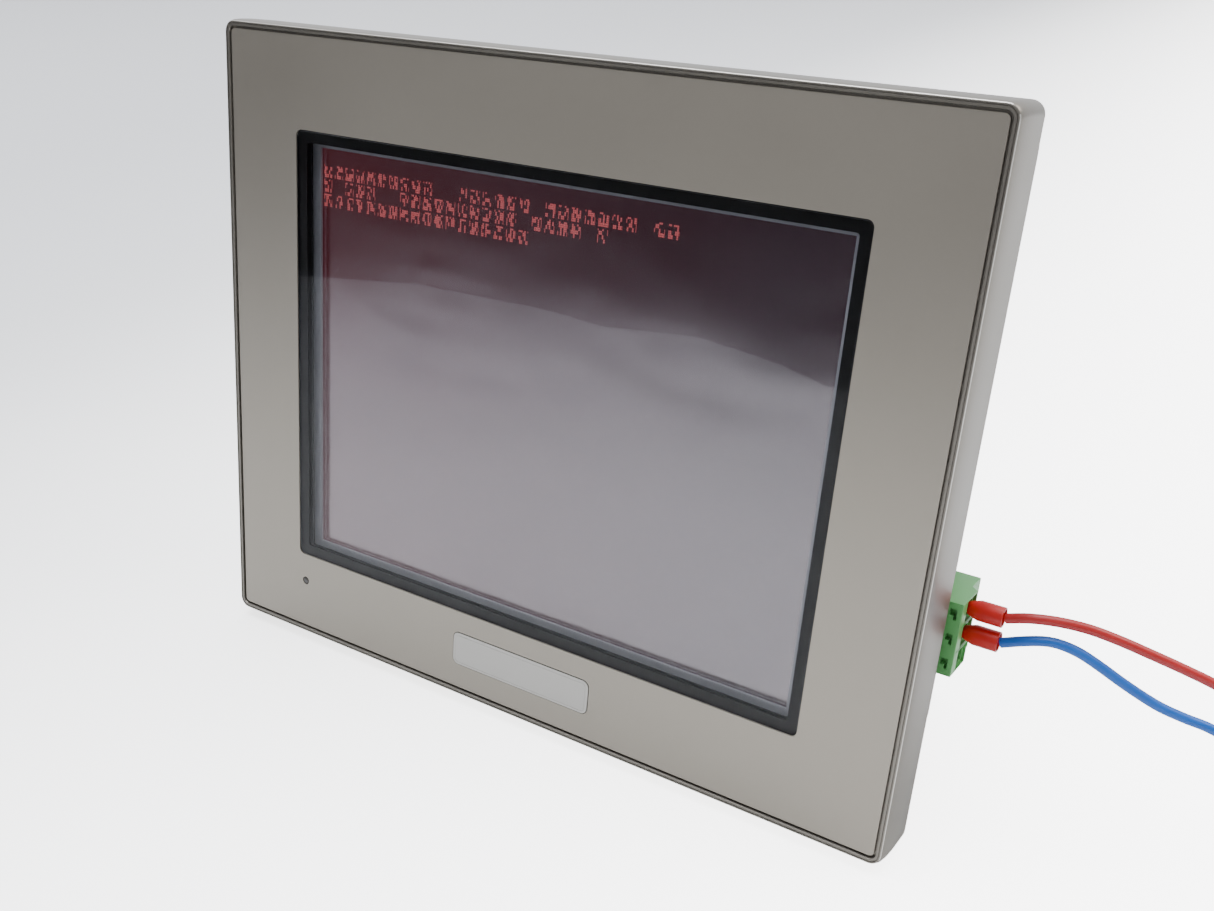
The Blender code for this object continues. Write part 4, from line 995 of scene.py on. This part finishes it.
# %% [markdown]
# ## Finishes for the pieces that stay as they are
# Boards, sockets and sheets inside the unit are hardly seen, and their solids are right as they
# are. Each keeps its solid and only gets the finish that its slot stands for.

# %% Finishes by slot
FINISH_OF_SLOT = {
    "window_clear": window_film,
    "border_ink": black_print,
    "touch_glass": touch_glass,
    "foam_black": foam_tape,
    "module_steel": dull_nickel,
    "lcd_cell": lcd_cell,
    "diffuser_film": milky_film,
    "light_guide_acrylic": acrylic,
    "lamp_glass": lamp_phosphor,
    "zinc_sheet": zinc_steel,
    "board_green": solder_mask,
    "chip_black": black_epoxy,
    "battery_steel": nickel_steel,
    "transformer_tape": yellow_tape,
    "capacitor_sleeve": blue_sleeve,
    "screw_steel": zinc_steel,
    "socket_metal": tin_plate,
    "insulator_black": black_epoxy,
    "terminal_green": header_nylon,
    "contact_tin": tin_plate,
    "switch_red": red_moulding,
    "lever_white": white_moulding,
}
kept = 0
for part in frame["record"]["subparts"]:
    solid = frame["nodes"][part["node"]]
    if not solid.hide_render:
        solid.data.materials.clear()
        solid.data.materials.append(FINISH_OF_SLOT[part["material_slot"]])
        kept += 1
print(kept, "solids keep their shape")

# %% [markdown]
# ## Stage
# A matt white table that runs on as far as one can see. Its colour is painted cool grey on the left
# and white on the right, and its glow grows the same way: painted shade and painted light, for
# light that falls off across the table away from a window. More light would whiten the table, but
# it would bleach the grey metal too. So the table glows a little where it is seen directly, and the
# glow lights nothing else: that is what the Light Path node is for.

# %% Table


def table_laminate():
    made = surface("matt_white_laminate", ("e9eaec", "eeeff1"), 300, (0.55, 0.65), 2.0, 0.01)
    tree = made.node_tree
    bsdf = next(n for n in tree.nodes if n.type == "BSDF_PRINCIPLED")
    place = node(tree, "TexCoord").outputs["Object"]
    axes = node(tree, "SeparateXYZ", {0: place})
    # The glow for camera rays grows from left to right: painted light, strongest on the right.
    across = node(
        tree,
        "MapRange",
        {
            "Value": axes.outputs["X"],
            "From Min": -0.34,
            "From Max": 0.45,
            "To Min": 0.4,
            "To Max": 9.0,
        },
        interpolation_type="SMOOTHSTEP",
    )
    # The base colour goes from cool grey on the left to white on the right: painted shade, for
    # light that falls off away from the window.
    side = node(
        tree,
        "MapRange",
        {
            "Value": axes.outputs["X"],
            "From Min": -0.6,
            "From Max": 0.05,
            "To Min": 0.0,
            "To Max": 1.0,
        },
        interpolation_type="SMOOTHSTEP",
    )
    tone = node(
        tree, "Mix", {0: side.outputs[0], 6: hexed("c2c4c9"), 7: hexed("eeeff0")}, data_type="RGBA"
    )
    tree.links.new(tone.outputs[2], bsdf.inputs["Base Color"])
    ray = node(tree, "LightPath")
    seen = node(
        tree, "Math", {0: across.outputs[0], 1: ray.outputs["Is Camera Ray"]}, operation="MULTIPLY"
    )
    tree.links.new(seen.outputs[0], bsdf.inputs["Emission Strength"])
    bsdf.inputs["Emission Color"].default_value = hexed("fbfaf9")
    return made


def add_table():
    bpy.ops.object.select_all(action="DESELECT")
    bpy.ops.mesh.primitive_plane_add(size=12)
    table = bpy.context.object
    table.name = "table"
    table.data.materials.append(table_laminate())


add_table()
print("the table is 12 m wide")

# %% [markdown]
# The upper part of the display mirrors the dim room in front of it. Modelling that room would take
# many pieces, so a dark folding screen stands there, seen only in reflections. Its foot follows the
# line where the mirrored table ends. It is made by extruding one vertex from point to point, and
# then the whole line upwards.

# %% Dark screen
FOOT_LINE = [
    (-1.60, -0.25),
    (-0.95, -0.52),
    (-0.84, -0.82),
    (-0.84, -1.00),
    (-0.68, -1.04),
    (-0.57, -0.99),
    (-0.52, -1.12),
    (-0.37, -1.02),
    (-0.27, -0.90),
    (0.05, -0.88),
    (0.60, -0.95),
]


def add_dark_screen():
    bpy.ops.object.select_all(action="DESELECT")
    bpy.ops.mesh.primitive_plane_add(size=0.1)
    screen = bpy.context.object
    screen.name = "dark_screen"
    bpy.ops.object.mode_set(mode="EDIT")
    bpy.ops.mesh.select_mode(type="VERT")
    bpy.ops.mesh.merge(type="CENTER")
    at = Vector((0, 0, 0))
    for x, y in FOOT_LINE:
        shift = Vector((x, y, 0)) - at
        if at.length == 0:
            bpy.ops.transform.translate(value=shift)
        else:
            bpy.ops.mesh.extrude_region_move(TRANSFORM_OT_translate={"value": shift})
        at += shift
    bpy.ops.mesh.select_all(action="SELECT")
    bpy.ops.mesh.extrude_region_move(TRANSFORM_OT_translate={"value": (0, 0, 0.32)})
    bpy.ops.object.mode_set(mode="OBJECT")
    screen.visible_camera = screen.visible_diffuse = screen.visible_shadow = False
    screen.data.materials.append(
        surface("dark_felt", ("110c11", "241a24"), 160, (0.8, 0.9), 2.0, 0.1)
    )


add_dark_screen()
print("the dark screen has", len(FOOT_LINE) - 1, "folds")

# %% [markdown]
# A product on a table is best lit softly, because hard lamps put hot spots on blasted metal. So
# the light is a large soft source above and to the right, a wide one overhead, and a pale surround
# that fills the shadows.

# %% Light


def add_area(name, location, target, size, power, colour):
    bpy.ops.object.select_all(action="DESELECT")
    bpy.ops.object.light_add(type="AREA", location=location)
    lamp = bpy.context.object
    lamp.name = name
    lamp.rotation_euler = (Vector(target) - Vector(location)).to_track_quat("-Z", "Y").to_euler()
    lamp.data.shape, lamp.data.size, lamp.data.energy = "DISK", size, power
    lamp.data.color = hexed(colour)[:3]


add_area("key", (0.9, 0.6, 1.3), (0, 0, 0.05), 0.9, 12, "fff9f2")
add_area("overhead", (-0.3, 0.1, 1.7), (0, 0, 0.0), 1.6, 48, "f6f9ff")


def add_surround():
    """A pale surround, a little brighter above than at the height of the table."""
    world = bpy.data.worlds.new("surround")
    bpy.context.scene.world = world
    world.use_nodes = True
    tree = world.node_tree
    tree.nodes.clear()
    way = node(tree, "TexCoord").outputs["Generated"]
    axes = node(tree, "SeparateXYZ", {0: way})
    upward = node(
        tree,
        "MapRange",
        {
            "Value": axes.outputs["Z"],
            "From Min": 0.0,
            "From Max": 0.7,
            "To Min": 0.0,
            "To Max": 1.0,
        },
    )
    level, high = hexed("dfe1e6"), hexed("eef1f6")
    sky = node(tree, "Mix", {0: upward, 6: level, 7: high}, data_type="RGBA")
    behind = node(
        tree,
        "MapRange",
        {
            "Value": axes.outputs["Y"],
            "From Min": 0.1,
            "From Max": 0.6,
            "To Min": 0.6,
            "To Max": 1.5,
        },
        interpolation_type="SMOOTHSTEP",
    )
    glow = node(tree, "Background", {"Color": sky.outputs[2], "Strength": behind.outputs[0]})
    node(tree, "OutputWorld", {"Surface": glow.outputs[0]})


add_surround()
